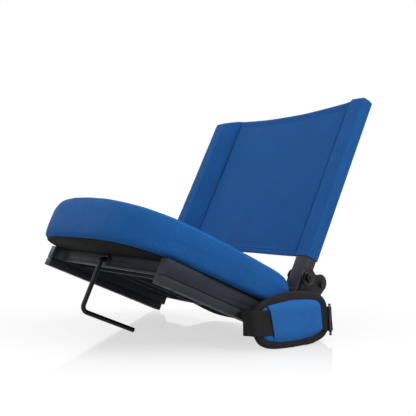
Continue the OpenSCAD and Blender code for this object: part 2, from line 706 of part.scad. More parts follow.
// Direction across the webbing, square to its run
function across(i) = let (h = heading(i), tilt = strap_line[i][3], lean = strap_line[i][4],
    a = [-sin(lean), -sin(tilt) * cos(lean), cos(tilt) * cos(lean)])
    unit(a - (a * h) * h);
function web_ring(i) = let (p = place(strap_line[i]), a = across(i), b = cross(a, heading(i)))
    [for (c = [[-1, -1], [1, -1], [1, 1], [-1, 1]]) p + c[0] * web_t / 2 * b + c[1] * web_w / 2 * a];

// Places a child in the leaning frame of the pad, turned about the webbing
module lean_frame() {
    pad_frame() translate([web_x, 0, web_n]) rotate([0, -pad_lean, 0])
        translate([-web_x, 0, -web_n]) children();
}

// The two holes through the webbing at its near anchor
module near_holes(x0, x1, r) {
    pad_frame() for (e = near_screw_es) rod_x(x0, x1, e, 0, r);
}

// The two holes through the webbing at its far anchor
module far_holes(y0, y1, r) {
    for (x = far_screw_xs) rod_y(y0, y1, x, stand_z, r);
}

module strap_webbing() color("#1c1c1d") difference() {
    skin([for (i = [0:len(strap_line) - 1]) web_ring(i)]);
    near_holes(half_w, near_x + 3, clamp_screw_d / 2 + fit);
    far_holes(rail_y1, far_y + 3, clamp_screw_d / 2 + fit);
}

// A pad that swells between its inner and outer faces, inside the binding
module shoulder_pad() color("#2468b4") lean_frame() skin([
    pad_ring(bind_w + 14, pad_x), pad_ring(bind_w + 5, pad_x + 0.4), pad_ring(bind_w + gap, pad_x + 2.4),
    pad_ring(bind_w + gap, pad_x + pad_t - 3.4), pad_ring(bind_w + 3, pad_x + pad_t - 1.2),
    pad_ring(bind_w + 8, pad_x + pad_t - 0.2), pad_ring(bind_w + 16, pad_x + pad_t)
]);

module pad_binding() color("#161617") lean_frame() difference() {
    skin([pad_ring(1.5, pad_x + 1), pad_ring(0, pad_x + 2.6), pad_ring(0, pad_x + pad_t - 3.2),
        pad_ring(1.5, pad_x + pad_t - 1.6)]);
    skin([pad_ring(bind_w, pad_x - 1), pad_ring(bind_w, pad_x + pad_t + 1)]);
}

// The sleeve that holds the webbing on the pad: a sheet with two sewn edges
module pad_sleeve() color("#2468b4") lean_frame() translate([0, loop_e, web_n]) {
    x0 = pad_x + pad_t;
    x1 = x0 + web_t + 2 * gap;
    translate([x1, -loop_l / 2, -loop_h / 2]) cube([loop_t, loop_l, loop_h]);
    for (side = [-1, 1])
        translate([x0, -loop_l / 2, side * (loop_h / 2 - 2) - 2])
            cube([x1 - x0 + 0.5, loop_l, 4]);
}

// A three-bar slider that the webbing is threaded through
module strap_slider() color("#121213") lean_frame() translate([web_x, slider_e, web_n])
    difference() {
        translate([-slider_t / 2, -bar_step - bar_w / 2, -slider_w / 2])
            cube([slider_t, 2 * bar_step + bar_w, slider_w]);
        for (side = [-1, 1])
            translate([-slider_t, side * bar_step / 2 - (bar_step - bar_w) / 2, -web_w / 2 - 0.6])
                cube([2 * slider_t, bar_step - bar_w, web_w + 1.2]);
    }

// The spacer between the rail and the near end of the webbing
module anchor_spacer() color("#252527") difference() {
    pad_frame() translate([half_w, near_e0, -7]) cube([spacer_t, near_e1 - near_e0, 12]);
    near_holes(half_w - 1, near_x, clamp_screw_d / 2 + fit);
}

// The folded plate behind the base that carries the far end of the webbing
module anchor_stand() color("#252527") difference() {
    union() {
        translate([stand_x0, rail_y1, rear_clear + 1])
            cube([stand_x1 - stand_x0, stand_t, stand_z + web_w / 2 - rear_clear - 1]);
        translate([stand_x0, rail_y1 - stand_foot, base_h])
            cube([stand_x1 - stand_x0, stand_foot + 1, stand_t]);
    }
    far_holes(rail_y1 - 1, stand_y + 1, clamp_screw_d / 2 + fit);
    for (x = far_screw_xs) translate([x, stand_screw_y, base_h - 1])
        cylinder(h = stand_t + 2, d = clamp_screw_d + 2 * fit, $fn = 32);
}

// The two plates that clamp the ends of the webbing
module anchor_clamps() color("#252527") difference() {
    union() {
        pad_frame() translate([near_x + web_t / 2 + fit, near_e0, -7])
            cube([clamp_t, near_e1 - near_e0, 12]);
        translate([stand_x0, far_y + web_t / 2 + fit, stand_z - 9])
            cube([stand_x1 - stand_x0, clamp_t, 18]);
    }
    near_holes(near_x, near_x + 5, clamp_screw_d / 2 + fit);
    far_holes(far_y, far_y + 5, clamp_screw_d / 2 + fit);
}

module anchor_screws() color("#47484c") {
    near_holes(half_w - 8, near_clamp_x, clamp_screw_d / 2);
    near_holes(near_clamp_x, near_clamp_x + clamp_head_h, clamp_screw_d * 0.85);
    far_holes(rail_y1 - 4, far_clamp_y, clamp_screw_d / 2);
    far_holes(far_clamp_y, far_clamp_y + clamp_head_h, clamp_screw_d * 0.85);
    far_holes(rail_y1 - 4, rail_y1, clamp_screw_d * 0.85);
    for (x = far_screw_xs) translate([x, stand_screw_y, 0]) {
        translate([0, 0, base_h + stand_t]) cylinder(h = clamp_head_h, d = clamp_screw_d * 1.7, $fn = 32);
        translate([0, 0, deck_z - 5]) cylinder(h = deck_t + stand_t + 5, d = clamp_screw_d, $fn = 32);
    }
}

base_tray();
foot_rail_left();
foot_rail_right();
foot_screws();
cushion_board();
board_screws();
seat_cushion();
hook_bush();
bracket_left();
bracket_right();
bracket_bolts();
bracket_nuts();
pivot_bolts();
pivot_nuts();
pivot_discs();
brace_bolts();
brace_spacers();
brace_nuts();
anchor_spacer();
anchor_stand();
anchor_clamps();
anchor_screws();
strap_webbing();
shoulder_pad();
pad_binding();
pad_sleeve();
strap_slider();
back_post_left();
back_post_right();
post_caps();
post_end_plugs();
pivot_bushes();
back_cover();
hook_rod();
hook_washer();
hook_retainer();
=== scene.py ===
import json
import math
from contextlib import contextmanager

import bpy
import numpy as np
from mathutils import Matrix, Vector, noise
from mathutils.bvhtree import BVHTree


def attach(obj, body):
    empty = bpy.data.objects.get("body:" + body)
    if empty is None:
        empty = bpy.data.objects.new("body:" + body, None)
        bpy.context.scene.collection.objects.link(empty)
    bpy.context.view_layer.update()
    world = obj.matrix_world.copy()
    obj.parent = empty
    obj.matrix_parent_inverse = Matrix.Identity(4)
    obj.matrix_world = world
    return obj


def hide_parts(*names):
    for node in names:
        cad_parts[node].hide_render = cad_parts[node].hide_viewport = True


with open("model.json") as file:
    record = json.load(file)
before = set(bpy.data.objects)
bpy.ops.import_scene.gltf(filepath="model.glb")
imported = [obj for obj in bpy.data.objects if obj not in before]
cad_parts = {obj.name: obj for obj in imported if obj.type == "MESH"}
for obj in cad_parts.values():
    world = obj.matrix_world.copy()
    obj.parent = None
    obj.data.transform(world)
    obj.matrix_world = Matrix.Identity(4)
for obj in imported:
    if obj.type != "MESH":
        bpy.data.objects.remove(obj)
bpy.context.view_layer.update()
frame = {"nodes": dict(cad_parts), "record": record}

NODES = frame["nodes"]
SLOTS = {row["node"]: row["material_slot"] for row in frame["record"]["subparts"]}
BODIES = {node: body for body, members in frame["record"]["behaviour"]["bodies"].items() for node in members}
MM = 0.001
ROUND = 2 * math.pi

# Places of the seat, in millimetres and degrees, as the model has them
HALF_BASE = 216
PIVOT_Y, PIVOT_Z, BACK_TILT = 121, 105.5, -2.7
SEAT_HALF, SEAT_FRONT, SEAT_REAR, SEAT_SIDE_TOP = 229, 200, 103, 92
POST_X = 204.5
SLEEVE_W, SLEEVE_D, SLEEVE_LOW, SLEEVE_TOP = 32, 25, 32, 337.5
SLEEVE_IN, SLEEVE_OUT = POST_X - SLEEVE_W / 2, POST_X + SLEEVE_W / 2
PANEL_LOW, PANEL_TOP, PANEL_SAG, BILLOW = 39, 355, 12.5, 3.2
CLOTH, FLAP = 1.2, 25
HEM_SEAM, HEM_FOLD = 9.2, 11
PAD_X, PAD_Y, PAD_Z, PAD_TILT = 235, 92.5, 30, 22
PAD_T, PAD_L, PAD_H, PAD_DROP, PAD_REACH = 13, 148, 86, 1.8, 8.0
WEB_X, WEB_N, WEB_W, WEB_T, WEB_LEAN = 249.1, -4, 38, 1.6, 8
SLIDER_E, SLIDER_TURN, BAR_STEP = 82.4, 38, 7.2


def shift(x, y, z):
    return Matrix.Translation(Vector((x, y, z)) * MM)


def turn(axis, degrees):
    return Matrix.Rotation(math.radians(degrees), 4, axis)


BACK_FRAME = shift(0, PIVOT_Y, PIVOT_Z) @ turn("X", BACK_TILT)
LEAN_FRAME = (shift(0, PAD_Y, PAD_Z) @ turn("X", PAD_TILT) @ shift(WEB_X, 0, WEB_N) @ turn("Y", -WEB_LEAN)
              @ shift(-WEB_X, 0, -WEB_N))


def linked(name, data):
    obj = bpy.data.objects.new(name, data)
    bpy.context.scene.collection.objects.link(obj)
    return obj


# Shader nodes

def add(tree, kind, sockets=(), **settings):
    """One more node, of which this gives the outputs. A socket takes a number, a colour or another node's output."""
    new = tree.nodes.new("ShaderNode" + kind)
    for label, value in settings.items():
        setattr(new, label, value)
    for label, value in dict(sockets).items():
        if isinstance(value, bpy.types.NodeSocket):
            tree.links.new(value, new.inputs[label])
        else:
            new.inputs[label].default_value = value
    return new.outputs


def calc(tree, operation, *values):
    """A sum of numbers and nodes' outputs; a further sum stands in brackets."""
    values = [calc(tree, *value) if isinstance(value, tuple) else value for value in values]
    return add(tree, "Math", dict(enumerate(values)), operation=operation)[0]


def speckle(tree, place, scale, detail):
    return add(tree, "TexNoise", {"Vector": place, "Scale": scale, "Detail": detail})["Fac"]


def mix_shaders(tree, factor, first, second):
    return add(tree, "MixShader", {0: factor, 1: first, 2: second})[0]


def mix_colours(tree, first, second, factor):
    first, second = ((*colour, 1) if isinstance(colour, tuple) else colour for colour in (first, second))
    return add(tree, "Mix", {6: first, 7: second, 0: factor}, data_type="RGBA")[2]


def ramp_of(tree, value, low, high, out_low=0.0, out_high=1.0, **settings):
    return add(tree, "MapRange", {"Value": value, "From Min": low, "From Max": high,
                                  "To Min": out_low, "To Max": out_high}, **settings)["Result"]


def bump(tree, height, strength, distance, **normal):
    return add(tree, "Bump", {"Height": height, "Strength": strength, "Distance": distance, **normal})["Normal"]


def new_material(name):
    material = bpy.data.materials.new(name)
    material.use_nodes = True
    material.node_tree.nodes.clear()
    return material, material.node_tree


# Camera, floor and light

CAMERA_PLACE = (0.9927, -0.6024, -0.0965)
CAMERA_RIGHT, CAMERA_BACK = Vector((0.5774, 0.7481, 0.3271)), Vector((0.8164, -0.5260, -0.2382))
LENS, SENSOR = 56.16, 36
FLOOR_SLOPE, FLOOR_WIDE, FLOOR_DEEP, FLOOR_PLACE = 0.4367, 2.6, 1.9, (0, 0.135, -0.0006)
LIT_MIDDLE = Vector((0, 0, 0.18))
LAMPS = (  # metres to the side, to the camera and up from the middle, size in metres, watts
    ("key_light", 1.5, 0.9, 1.0, (1.1, 1.5), 27),
    ("front_light", -0.9, 1.4, 0.85, (1.2, 1.4), 11),
    ("top_light", -0.1, -0.2, 1.75, (1.6, 1.3), 13),
    ("rim_light", -1.3, -1.2, 0.9, (0.8, 1.4), 9))


def studio():
    """The camera stands low at the sitter's left; the floor is the plane that the tilted seat rests on."""
    camera_data = bpy.data.cameras.new("camera")
    camera_data.sensor_width, camera_data.lens, camera_data.clip_start = SENSOR, LENS, 0.01
    camera = linked("camera", camera_data)
    back = CAMERA_BACK.normalized()
    up = back.cross(CAMERA_RIGHT.normalized()).normalized()
    turned = Matrix((up.cross(back).normalized(), up, back)).transposed().to_4x4()
    camera.matrix_world = Matrix.Translation(CAMERA_PLACE) @ turned
    bpy.context.scene.camera = camera
    bpy.context.scene.view_settings.view_transform = "Standard"

    tilt = math.atan(FLOOR_SLOPE)
    bpy.ops.mesh.primitive_grid_add(x_subdivisions=8, y_subdivisions=8, size=1)
    floor = bpy.context.object
    floor.name = "studio_floor"
    floor.scale = (FLOOR_WIDE, FLOOR_DEEP, 1)
    floor.rotation_euler = (tilt, 0, 0)
    floor.location = FLOOR_PLACE
    floor.data.materials.append(floor_material())

    floor_up = Vector((0, -math.sin(tilt), math.cos(tilt)))
    level_back = (back - floor_up * back.dot(floor_up)).normalized()
    side = floor_up.cross(level_back).normalized()
    for name, to_side, to_back, to_up, size, power in LAMPS:
        data = bpy.data.lights.new(name, "AREA")
        data.shape = "RECTANGLE"
        data.size, data.size_y = size
        data.energy = power
        toward = side * to_side + level_back * to_back + floor_up * to_up
        lamp = linked(name, data)
        lamp.matrix_world = (Matrix.Translation(LIT_MIDDLE + toward)
                             @ toward.to_track_quat("Z", "Y").to_matrix().to_4x4())


def floor_material():
    """White to the camera and to gloss, with the object's shadow and a faint mirror image near its foot."""
    material, tree = new_material("studio_white")
    place, heading = add(tree, "TexCoord")["Object"], (0.817 * FLOOR_WIDE, -0.577 * FLOOR_DEEP, 0)
    along = add(tree, "VectorMath", {0: place, 1: heading}, operation="DOT_PRODUCT")["Value"]
    near = calc(tree, "MULTIPLY", ramp_of(tree, along, 0.16, 0.42, 0.2, 0.0, interpolation_type="SMOOTHSTEP"),
                ramp_of(tree, along, -0.3, -0.02, interpolation_type="SMOOTHSTEP"))
    matte, dark = (add(tree, "BsdfDiffuse", {"Color": (grey, grey, grey, 1)})[0] for grey in (0.9, 0.42))
    mirror = add(tree, "BsdfGlossy", {"Color": (1, 1, 1, 1), "Roughness": 0.07})[0]
    white = add(tree, "Emission", {"Strength": 1.0})[0]
    seen = mix_shaders(tree, near, mix_shaders(tree, near, white, matte), mirror)
    path = add(tree, "LightPath")
    straight = calc(tree, "MAXIMUM", ("MAXIMUM", path["Is Camera Ray"], path["Is Glossy Ray"]),
                    path["Is Transmission Ray"])
    add(tree, "OutputMaterial", {"Surface": mix_shaders(tree, straight, dark, seen)})
    return material


def white_world():
    """White to the camera and to gloss, and a softer light on the piece."""
    world = bpy.data.worlds.new("studio_world")
    bpy.context.scene.world = world
    world.use_nodes = True
    tree = world.node_tree
    tree.nodes.clear()
    white, light = (add(tree, "Background", {"Color": (1, 1, 1, 1), "Strength": strength})[0]
                    for strength in (1.0, 0.36))
    path = add(tree, "LightPath")
    clear = calc(tree, "MAXIMUM", path["Is Glossy Ray"], path["Is Transmission Ray"])
    lit = mix_shaders(tree, clear, light, white)
    add(tree, "OutputWorld", {"Surface": mix_shaders(tree, path["Is Camera Ray"], lit, white)})


# Finishes

def new_group(name, **inputs):
    """A node group and what comes into it: a map where no number is given."""
    group = bpy.data.node_groups.new(name, "ShaderNodeTree")
    for label, value in inputs.items():
        kind = "NodeSocketVector" if value is None else "NodeSocketFloat"
        socket = group.interface.new_socket(label, in_out="INPUT", socket_type=kind)
        if value is not None:
            socket.default_value = value
    return group, group.nodes.new("NodeGroupInput").outputs


def closed_group(group, **results):
    for label in results:
        group.interface.new_socket(label, in_out="OUTPUT", socket_type="NodeSocketFloat")
    out = group.nodes.new("NodeGroupOutput")
    for label, value in results.items():
        group.links.new(value, out.inputs[label])
    return group


def woven_group():
    """Threads over and under each other, on a flat map in metres, with uneven yarn."""
    group, given = new_group("woven threads", Map=None, Pitch=0.0012, Uneven=0.5)
    split = add(group, "SeparateXYZ", {0: given["Map"]})
    turns = calc(group, "DIVIDE", ROUND, given["Pitch"])
    along, across = (("SINE", ("MULTIPLY", split[axis], turns)) for axis in (0, 1))
    yarn = speckle(group, given["Map"], 420, 3)
    height = calc(group, "ADD", ("MULTIPLY", ("MULTIPLY", along, across), 0.5),
                  ("MULTIPLY", ("SUBTRACT", yarn, 0.5), given["Uneven"]))
    return closed_group(group, Height=height, Yarn=yarn)


def ribbed_group():
    """Slanting ribs that turn back in a chevron across a band: the short threads of webbing and binding."""
    group, given = new_group("band ribs", Map=None, Pitch=0.0012)
    split = add(group, "SeparateXYZ", {0: given["Map"]})
    turns = calc(group, "DIVIDE", ROUND, given["Pitch"])
    lean = ("MULTIPLY", ("PINGPONG", split[1], 0.0035), turns)
    twill = ("SINE", ("ADD", ("MULTIPLY", split[0], turns), lean))
    ribs = ("SINE", ("MULTIPLY", ("MULTIPLY", split[1], turns), 0.62))
    yarn = speckle(group, given["Map"], 600, 2)
    height = calc(group, "ADD", ("ADD", ("MULTIPLY", twill, 0.5), ("MULTIPLY", ribs, 0.25)), ("SUBTRACT", yarn, 0.5))
    return closed_group(group, Height=height, Yarn=yarn)


def grain_group():
    """Fine grain of a moulded or coated surface, with slow changes and a few scuffs."""
    group, given = new_group("fine grain", Map=None, Scale=900.0, Scuffs=0.5)
    fine = add(group, "TexVoronoi", {"Vector": given["Map"], "Scale": given["Scale"]})["Distance"]
    rough = speckle(group, given["Map"], given["Scale"], 4)
    stretch = add(group, "Mapping", {"Vector": given["Map"], "Scale": (30, 260, 260), "Rotation": (0.3, 0.5, 0.7)})
    lines = speckle(group, stretch["Vector"], 1, 5)
    sharp = add(group, "Clamp", {"Value": calc(group, "MULTIPLY", ("SUBTRACT", lines, 0.64), 9)})[0]
    return closed_group(group, Height=calc(group, "ADD", ("MULTIPLY", fine, 0.5), ("MULTIPLY", rough, 0.6)),
                        Slow=speckle(group, given["Map"], 14, 3), Scuff=calc(group, "MULTIPLY", sharp, given["Scuffs"]))


def edge_highlight_group():
    """How near a hard edge a point is: the rounded normal parts from the flat one there. This mask paints a lighter
    highlight along hard edges.
    """
    group, given = new_group("worn edges", Width=0.001)
    rounded = add(group, "Bevel", {"Radius": given["Width"]}, samples=4)["Normal"]
    same = add(group, "VectorMath", {0: rounded, 1: add(group, "NewGeometry")["Normal"]}, operation="DOT_PRODUCT")
    apart = calc(group, "MULTIPLY", ("SUBTRACT", 1.0, same["Value"]), 4)
    return closed_group(group, Edge=add(group, "Clamp", {"Value": apart})[0])


WOVEN, RIBBED, GRAIN, EDGE_HIGHLIGHT = woven_group(), ribbed_group(), grain_group(), edge_highlight_group()


def cloth_material(name, deep, light, pitch=0.0011, sheen=0.05, rough=0.82, weave=WOVEN, depth=0.0004):
    """Woven cloth between two shades of one colour, with its threads as relief."""
    material, tree = new_material(name)
    flat_map = add(tree, "UVMap", uv_map="Threads")["UV"]
    threads = add(tree, "Group", {"Map": flat_map, "Pitch": pitch}, node_tree=weave)
    slow = speckle(tree, add(tree, "TexCoord")["Object"], 22, 4)
    shade = calc(tree, "ADD", ("ADD", ("MULTIPLY", threads["Yarn"], 0.55), ("MULTIPLY", slow, 0.45)),
                 ("MULTIPLY", threads["Height"], 0.18))
    surface = add(tree, "BsdfPrincipled", {
        "Base Color": mix_colours(tree, deep, light, ramp_of(tree, shade, 0.3, 0.7)),
        "Roughness": ramp_of(tree, slow, 0.3, 0.7, rough - 0.05, rough + 0.05),
        "Specular IOR Level": 0.14, "Sheen Weight": sheen, "Sheen Roughness": 0.45,
        "Sheen Tint": (*(min(1, c * 1.6 + 0.12) for c in light), 1),
        "Normal": bump(tree, threads["Height"], 0.5, depth, Normal=bump(tree, slow, 0.25, 0.0012))})[0]
    add(tree, "OutputMaterial", {"Surface": surface})
    return material


def solid_material(name, base, edge, rough, spec=0.5, grain=900.0, depth=0.00006, metal=0.0, edge_width=0.0009):
    """Plastic, paint or metal with a fine grain, slow changes, a painted highlight of lighter colour along hard edges
    and a few scuffs.
    """
    material, tree = new_material(name)
    place = add(tree, "TexCoord")["Object"]
    coat = add(tree, "Group", {"Map": place, "Scale": grain, "Scuffs": 0.4}, node_tree=GRAIN)
    highlit = add(tree, "Group", {"Width": edge_width}, node_tree=EDGE_HIGHLIGHT)
    colour = mix_colours(tree, base, tuple(c * 1.35 for c in base), ramp_of(tree, coat["Slow"], 0.35, 0.7))
    # Painted highlight: hard edges are mixed towards the lighter edge colour.
    colour = mix_colours(tree, colour, edge, calc(tree, "MULTIPLY", highlit["Edge"], 0.55))
    # Scuffs take the same lighter colour, as real wear.
    colour = mix_colours(tree, colour, edge, calc(tree, "MULTIPLY", coat["Scuff"], 0.35))
    roughness = calc(tree, "ADD", ramp_of(tree, coat["Slow"], 0.3, 0.75, rough - 0.06, rough + 0.08),
                     ("MULTIPLY", coat["Scuff"], 0.15))
    surface = add(tree, "BsdfPrincipled", {
        "Base Color": colour, "Roughness": roughness, "Metallic": metal, "Specular IOR Level": spec,
        "Normal": bump(tree, coat["Height"], 0.45, depth)})[0]
    add(tree, "OutputMaterial", {"Surface": surface})
    return material


CLOTHS = {  # finish: name, the deeper and the lighter shade, and the rest
    "seat_fabric": ("seat_cloth", (0.0045, 0.070, 0.245), (0.0125, 0.108, 0.345), {}),
    "back_fabric": ("back_cloth", (0.0045, 0.067, 0.230), (0.0125, 0.101, 0.325), {}),
    "pad_fabric": ("pad_cloth", (0.010, 0.090, 0.300), (0.022, 0.136, 0.42), {}),
    "webbing": ("strap_webbing_black", (0.006, 0.0056, 0.0062), (0.0175, 0.0162, 0.0178),
                dict(pitch=0.0016, sheen=0.03, rough=0.78, weave=RIBBED, depth=0.0005)),
    "binding": ("binding_black", (0.0062, 0.0056, 0.0064), (0.020, 0.0182, 0.0208), dict(rough=0.8, weave=RIBBED)),
}
SOLIDS = {  # finish: name, colour, lighter colour of the painted edge highlight and of scuffs, roughness and the rest
    "moulding": ("moulded_charcoal", (0.022, 0.025, 0.034), (0.046, 0.049, 0.059), 0.5, dict(spec=0.12)),
    "foot": ("foot_charcoal", (0.022, 0.023, 0.029), (0.060, 0.062, 0.07), 0.56, dict(spec=0.16)),
    "board": ("board_black", (0.005, 0.005, 0.006), (0.014, 0.014, 0.016), 0.85, dict(spec=0.08)),
    "slider_plastic": ("slider_black", (0.004, 0.004, 0.005), (0.02, 0.02, 0.023), 0.26,
                       dict(spec=0.3, depth=0.00002)),
    "bush_plastic": ("bush_black", (0.005, 0.005, 0.006), (0.03, 0.03, 0.032), 0.4, dict(spec=0.3)),
    "bush_nylon": ("bush_white", (0.55, 0.53, 0.49), (0.7, 0.68, 0.64), 0.4, {}),
    "disc_plastic": ("disc_black", (0.003, 0.003, 0.004), (0.02, 0.02, 0.023), 0.26, dict(spec=0.25, depth=0.00002)),
    "cap_plastic": ("cap_black", (0.008, 0.008, 0.009), (0.035, 0.035, 0.04), 0.45, dict(spec=0.3)),
    "bracket_paint": ("bracket_black", (0.005, 0.005, 0.0065), (0.03, 0.03, 0.034), 0.38,
                      dict(spec=0.2, grain=1400.0, depth=0.00008)),
    # The post's lighter edge colour over a wider edge paints the highlight along its rounded corners.
    "post_paint": ("post_grey", (0.025, 0.025, 0.036), (0.10, 0.10, 0.118), 0.42,
                   dict(spec=0.22, grain=1600.0, depth=0.00008, edge_width=0.0016)),
    "hook_paint": ("hook_black", (0.004, 0.004, 0.005), (0.03, 0.03, 0.034), 0.34,
                   dict(spec=0.2, grain=1500.0, depth=0.00004)),
    "bolt_steel": ("bolt_dark", (0.012, 0.012, 0.014), (0.08, 0.08, 0.088), 0.28, dict(metal=0.6, depth=0.00002)),
    "screw_steel": ("screw_zinc", (0.42, 0.42, 0.44), (0.6, 0.6, 0.62), 0.32, dict(metal=1.0, depth=0.00002)),
}
MATERIALS = {slot: cloth_material(*row, **more) for slot, (*row, more) in CLOTHS.items()}
MATERIALS.update({slot: solid_material(*row, **more) for slot, (*row, more) in SOLIDS.items()})
THREADS = {
    # The seat's welt is a lighter blue than the seat cloth: painted highlight along the cushion's top edge.
    "seat_fabric": cloth_material("welt_seat_painted_highlight", (0.013, 0.12, 0.37), (0.035, 0.190, 0.53), pitch=0.0009),
    "back_fabric": cloth_material("thread_back", (0.012, 0.10, 0.31), (0.035, 0.17, 0.46), pitch=0.0007),
    "pad_fabric": cloth_material("thread_pad", (0.016, 0.12, 0.36), (0.04, 0.19, 0.50), pitch=0.0007),
    "binding": cloth_material("thread_binding", (0.012, 0.011, 0.012), (0.045, 0.042, 0.046), pitch=0.0007),
}


# Ways of working

def pick(obj):
    bpy.ops.object.select_all(action="DESELECT")
    obj.select_set(True)
    bpy.context.view_layer.objects.active = obj


@contextmanager
def editing(obj, chosen=None):
    """Edit mode on the whole of a piece, or on the faces that a test chooses."""
    pick(obj)
    bpy.ops.object.mode_set(mode="EDIT")
    if chosen:
        bpy.ops.mesh.select_mode(type="FACE")
        bpy.ops.mesh.select_all(action="DESELECT")
        bpy.ops.object.mode_set(mode="OBJECT")
        for face in obj.data.polygons:
            face.select = chosen(face)
        bpy.ops.object.mode_set(mode="EDIT")
    else:
        bpy.ops.mesh.select_all(action="SELECT")
    yield
    bpy.ops.object.mode_set(mode="OBJECT")


def stand(obj, centre, axis):
    """Turns a piece's own z to an axis, moves it to its place and puts both into its mesh."""
    obj.matrix_world = (Matrix.Translation(Vector(centre) * MM)
                        @ Vector(axis).to_track_quat("Z", "Y").to_matrix().to_4x4())
    pick(obj)
    bpy.ops.object.transform_apply(location=True, rotation=True, scale=True)
    return obj


def finish_with(obj, kind, **values):
    pick(obj)
    modifier = obj.modifiers.new(kind.title(), kind)
    for label, value in values.items():
        setattr(modifier, label, value)
    bpy.ops.object.modifier_apply(modifier=modifier.name)


def read(items, label, size):
    flat = np.empty(len(items) * size)
    items.foreach_get(label, flat)
    return flat.reshape(-1, size)


def points_of(obj):
    return read(obj.data.vertices, "co", 3)


def normals_of(obj):
    return read(obj.data.vertices, "normal", 3)


def set_points(obj, points):
    obj.data.vertices.foreach_set("co", np.asarray(points, float).ravel())
    obj.data.update()


def copy_of(node, name):
    """A merged copy of a node's mesh, to be dressed."""
    obj = linked(name, NODES[node].data.copy())
    obj.data.materials.clear()
    with editing(obj):
        bpy.ops.mesh.remove_doubles(threshold=0.00001)
    return obj


def face_out(obj):
    with editing(obj):
        bpy.ops.mesh.normals_make_consistent(inside=False)
    return obj


def carried(points, matrix):
    """Points as rows, carried by a matrix."""
    matrix = np.array(matrix)
    return points @ matrix[:3, :3].T + matrix[:3, 3]


def thread_map(obj, own_frame=Matrix.Identity(4)):
    """A flat map in metres for the weave, laid on each face from the side that it faces most."""
    mesh = obj.data
    layer = mesh.uv_layers.get("Threads") or mesh.uv_layers.new(name="Threads")
    back = own_frame.inverted()
    facing = np.abs(read(mesh.polygons, "normal", 3) @ np.array(back)[:3, :3].T).argmax(1)
    side = np.repeat(facing, [polygon.loop_total for polygon in mesh.polygons])
    corner = carried(points_of(obj), back)[[loop.vertex_index for loop in mesh.loops]]
    u = np.where(side == 0, corner[:, 1], corner[:, 0])
    v = np.where(side == 2, corner[:, 1], corner[:, 2])
    layer.data.foreach_set("uv", np.stack([u, v], 1).ravel())


def dress(obj, slot_name, body, *replaced, angle=40, finishes=MATERIALS):
    """Gives a finished piece its finish, body and the nodes that it stands for."""
    obj.data.materials.clear()
    obj.data.materials.append(finishes[slot_name])
    pick(obj)
    if angle:
        bpy.ops.object.shade_smooth_by_angle(angle=math.radians(angle))
    else:
        bpy.ops.object.shade_smooth()
    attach(obj, body)
    if replaced:
        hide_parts(*replaced)


def run_along(points):
    """How far along a line each of its points is."""
    return np.append(0, np.cumsum(np.linalg.norm(np.diff(points, axis=0), axis=1)))


def loft(name, sections, ring=False):
    """A skin over closed cross-sections, with a thread map along and across it. Points in metres."""
    points = np.array([[tuple(p) for p in section] for section in sections])
    count, size = points.shape[:2]
    i, j = np.divmod(np.arange((count if ring else count - 1) * size), size)
    near, far, beside = i * size, (i + 1) % count * size, (j + 1) % size
    faces = np.stack([near + j, near + beside, far + beside, far + j], 1).tolist()
    middles, first = points.mean(1), points[count // 2]
    along = run_along(np.vstack([middles, middles[:1]]))
    across = run_along(np.vstack([first, first[:1]]))
    uv = np.stack([np.stack([along[i], along[i], along[i + 1], along[i + 1]], 1),
                   np.stack([across[j], across[j + 1], across[j + 1], across[j]], 1)], 2).reshape(-1, 2)
    if not ring:
        faces += [list(range(size))[::-1], list(range((count - 1) * size, count * size))]
        uv = np.vstack([uv, points[0][::-1, 1:], points[-1][:, 1:]])
    mesh = bpy.data.meshes.new(name)
    mesh.from_pydata(points.reshape(-1, 3).tolist(), [], faces)
    mesh.uv_layers.new(name="Threads").data.foreach_set("uv", uv.ravel())
    return face_out(linked(name, mesh))


def laid_grid(name, columns, rows, place, doubled=True):
    """A sheet laid point by point: place gives the point of a column, a row and a face, 1 or -1, of the cloth."""
    bpy.ops.mesh.primitive_grid_add(x_subdivisions=columns - 1, y_subdivisions=rows - 1, size=1)
    sheet = bpy.context.object
    sheet.name = name
    if doubled:
        finish_with(sheet, "SOLIDIFY", thickness=0.001, offset=0)
    set_points(sheet, [place(round((x + 0.5) * (columns - 1)), round((y + 0.5) * (rows - 1)), 1 if z > 0 else -1)
                       for x, y, z in points_of(sheet)])
    return face_out(sheet)


def ripple(point, scale, seed):
    return noise.noise(Vector((point[0] * scale + seed, point[1] * scale - seed, point[2] * scale + 2 * seed)))


def waver(x, y, z):
    return noise.noise(Vector((x, y, z)))


def puffed(obj, held, voxel, pressure, cap, shrink):
    """A filled cover: remeshed, drawn in, then blown up as cloth with each point's way capped. Lengths in metres."""
    pick(obj)
    obj.data.remesh_voxel_size = voxel
    obj.data.use_remesh_fix_poles = False
    bpy.ops.object.voxel_remesh()
    rest = points_of(obj)
    keep = held(rest)
    start = rest - normals_of(obj) * shrink * (1 - keep)[:, None]
    set_points(obj, start)
    group = obj.vertex_groups.new(name="held")
    for index in np.flatnonzero(keep > 0.01):
        group.add([int(index)], float(keep[index]), "REPLACE")
    cloth = obj.modifiers.new("Cloth", "CLOTH")
    for label, value in dict(quality=6, mass=0.25, tension_stiffness=12, compression_stiffness=12,
                             bending_stiffness=0.6, use_pressure=True, uniform_pressure_force=pressure,
                             vertex_group_mass="held").items():
        setattr(cloth.settings, label, value)
    cloth.settings.effector_weights.gravity = 0
    cloth.point_cache.frame_start = 1
    cloth.point_cache.frame_end = 20
    for step in range(1, 21):
        bpy.context.scene.frame_set(step)
    pick(obj)
    bpy.ops.object.modifier_apply(modifier=cloth.name)
    moved = points_of(obj) - start
    length = np.linalg.norm(moved, axis=1, keepdims=True)
    set_points(obj, start + moved * np.minimum(1, cap / np.maximum(length, 1e-9)))
    obj.vertex_groups.clear()
    finish_with(obj, "SUBSURF", levels=1, render_levels=1)


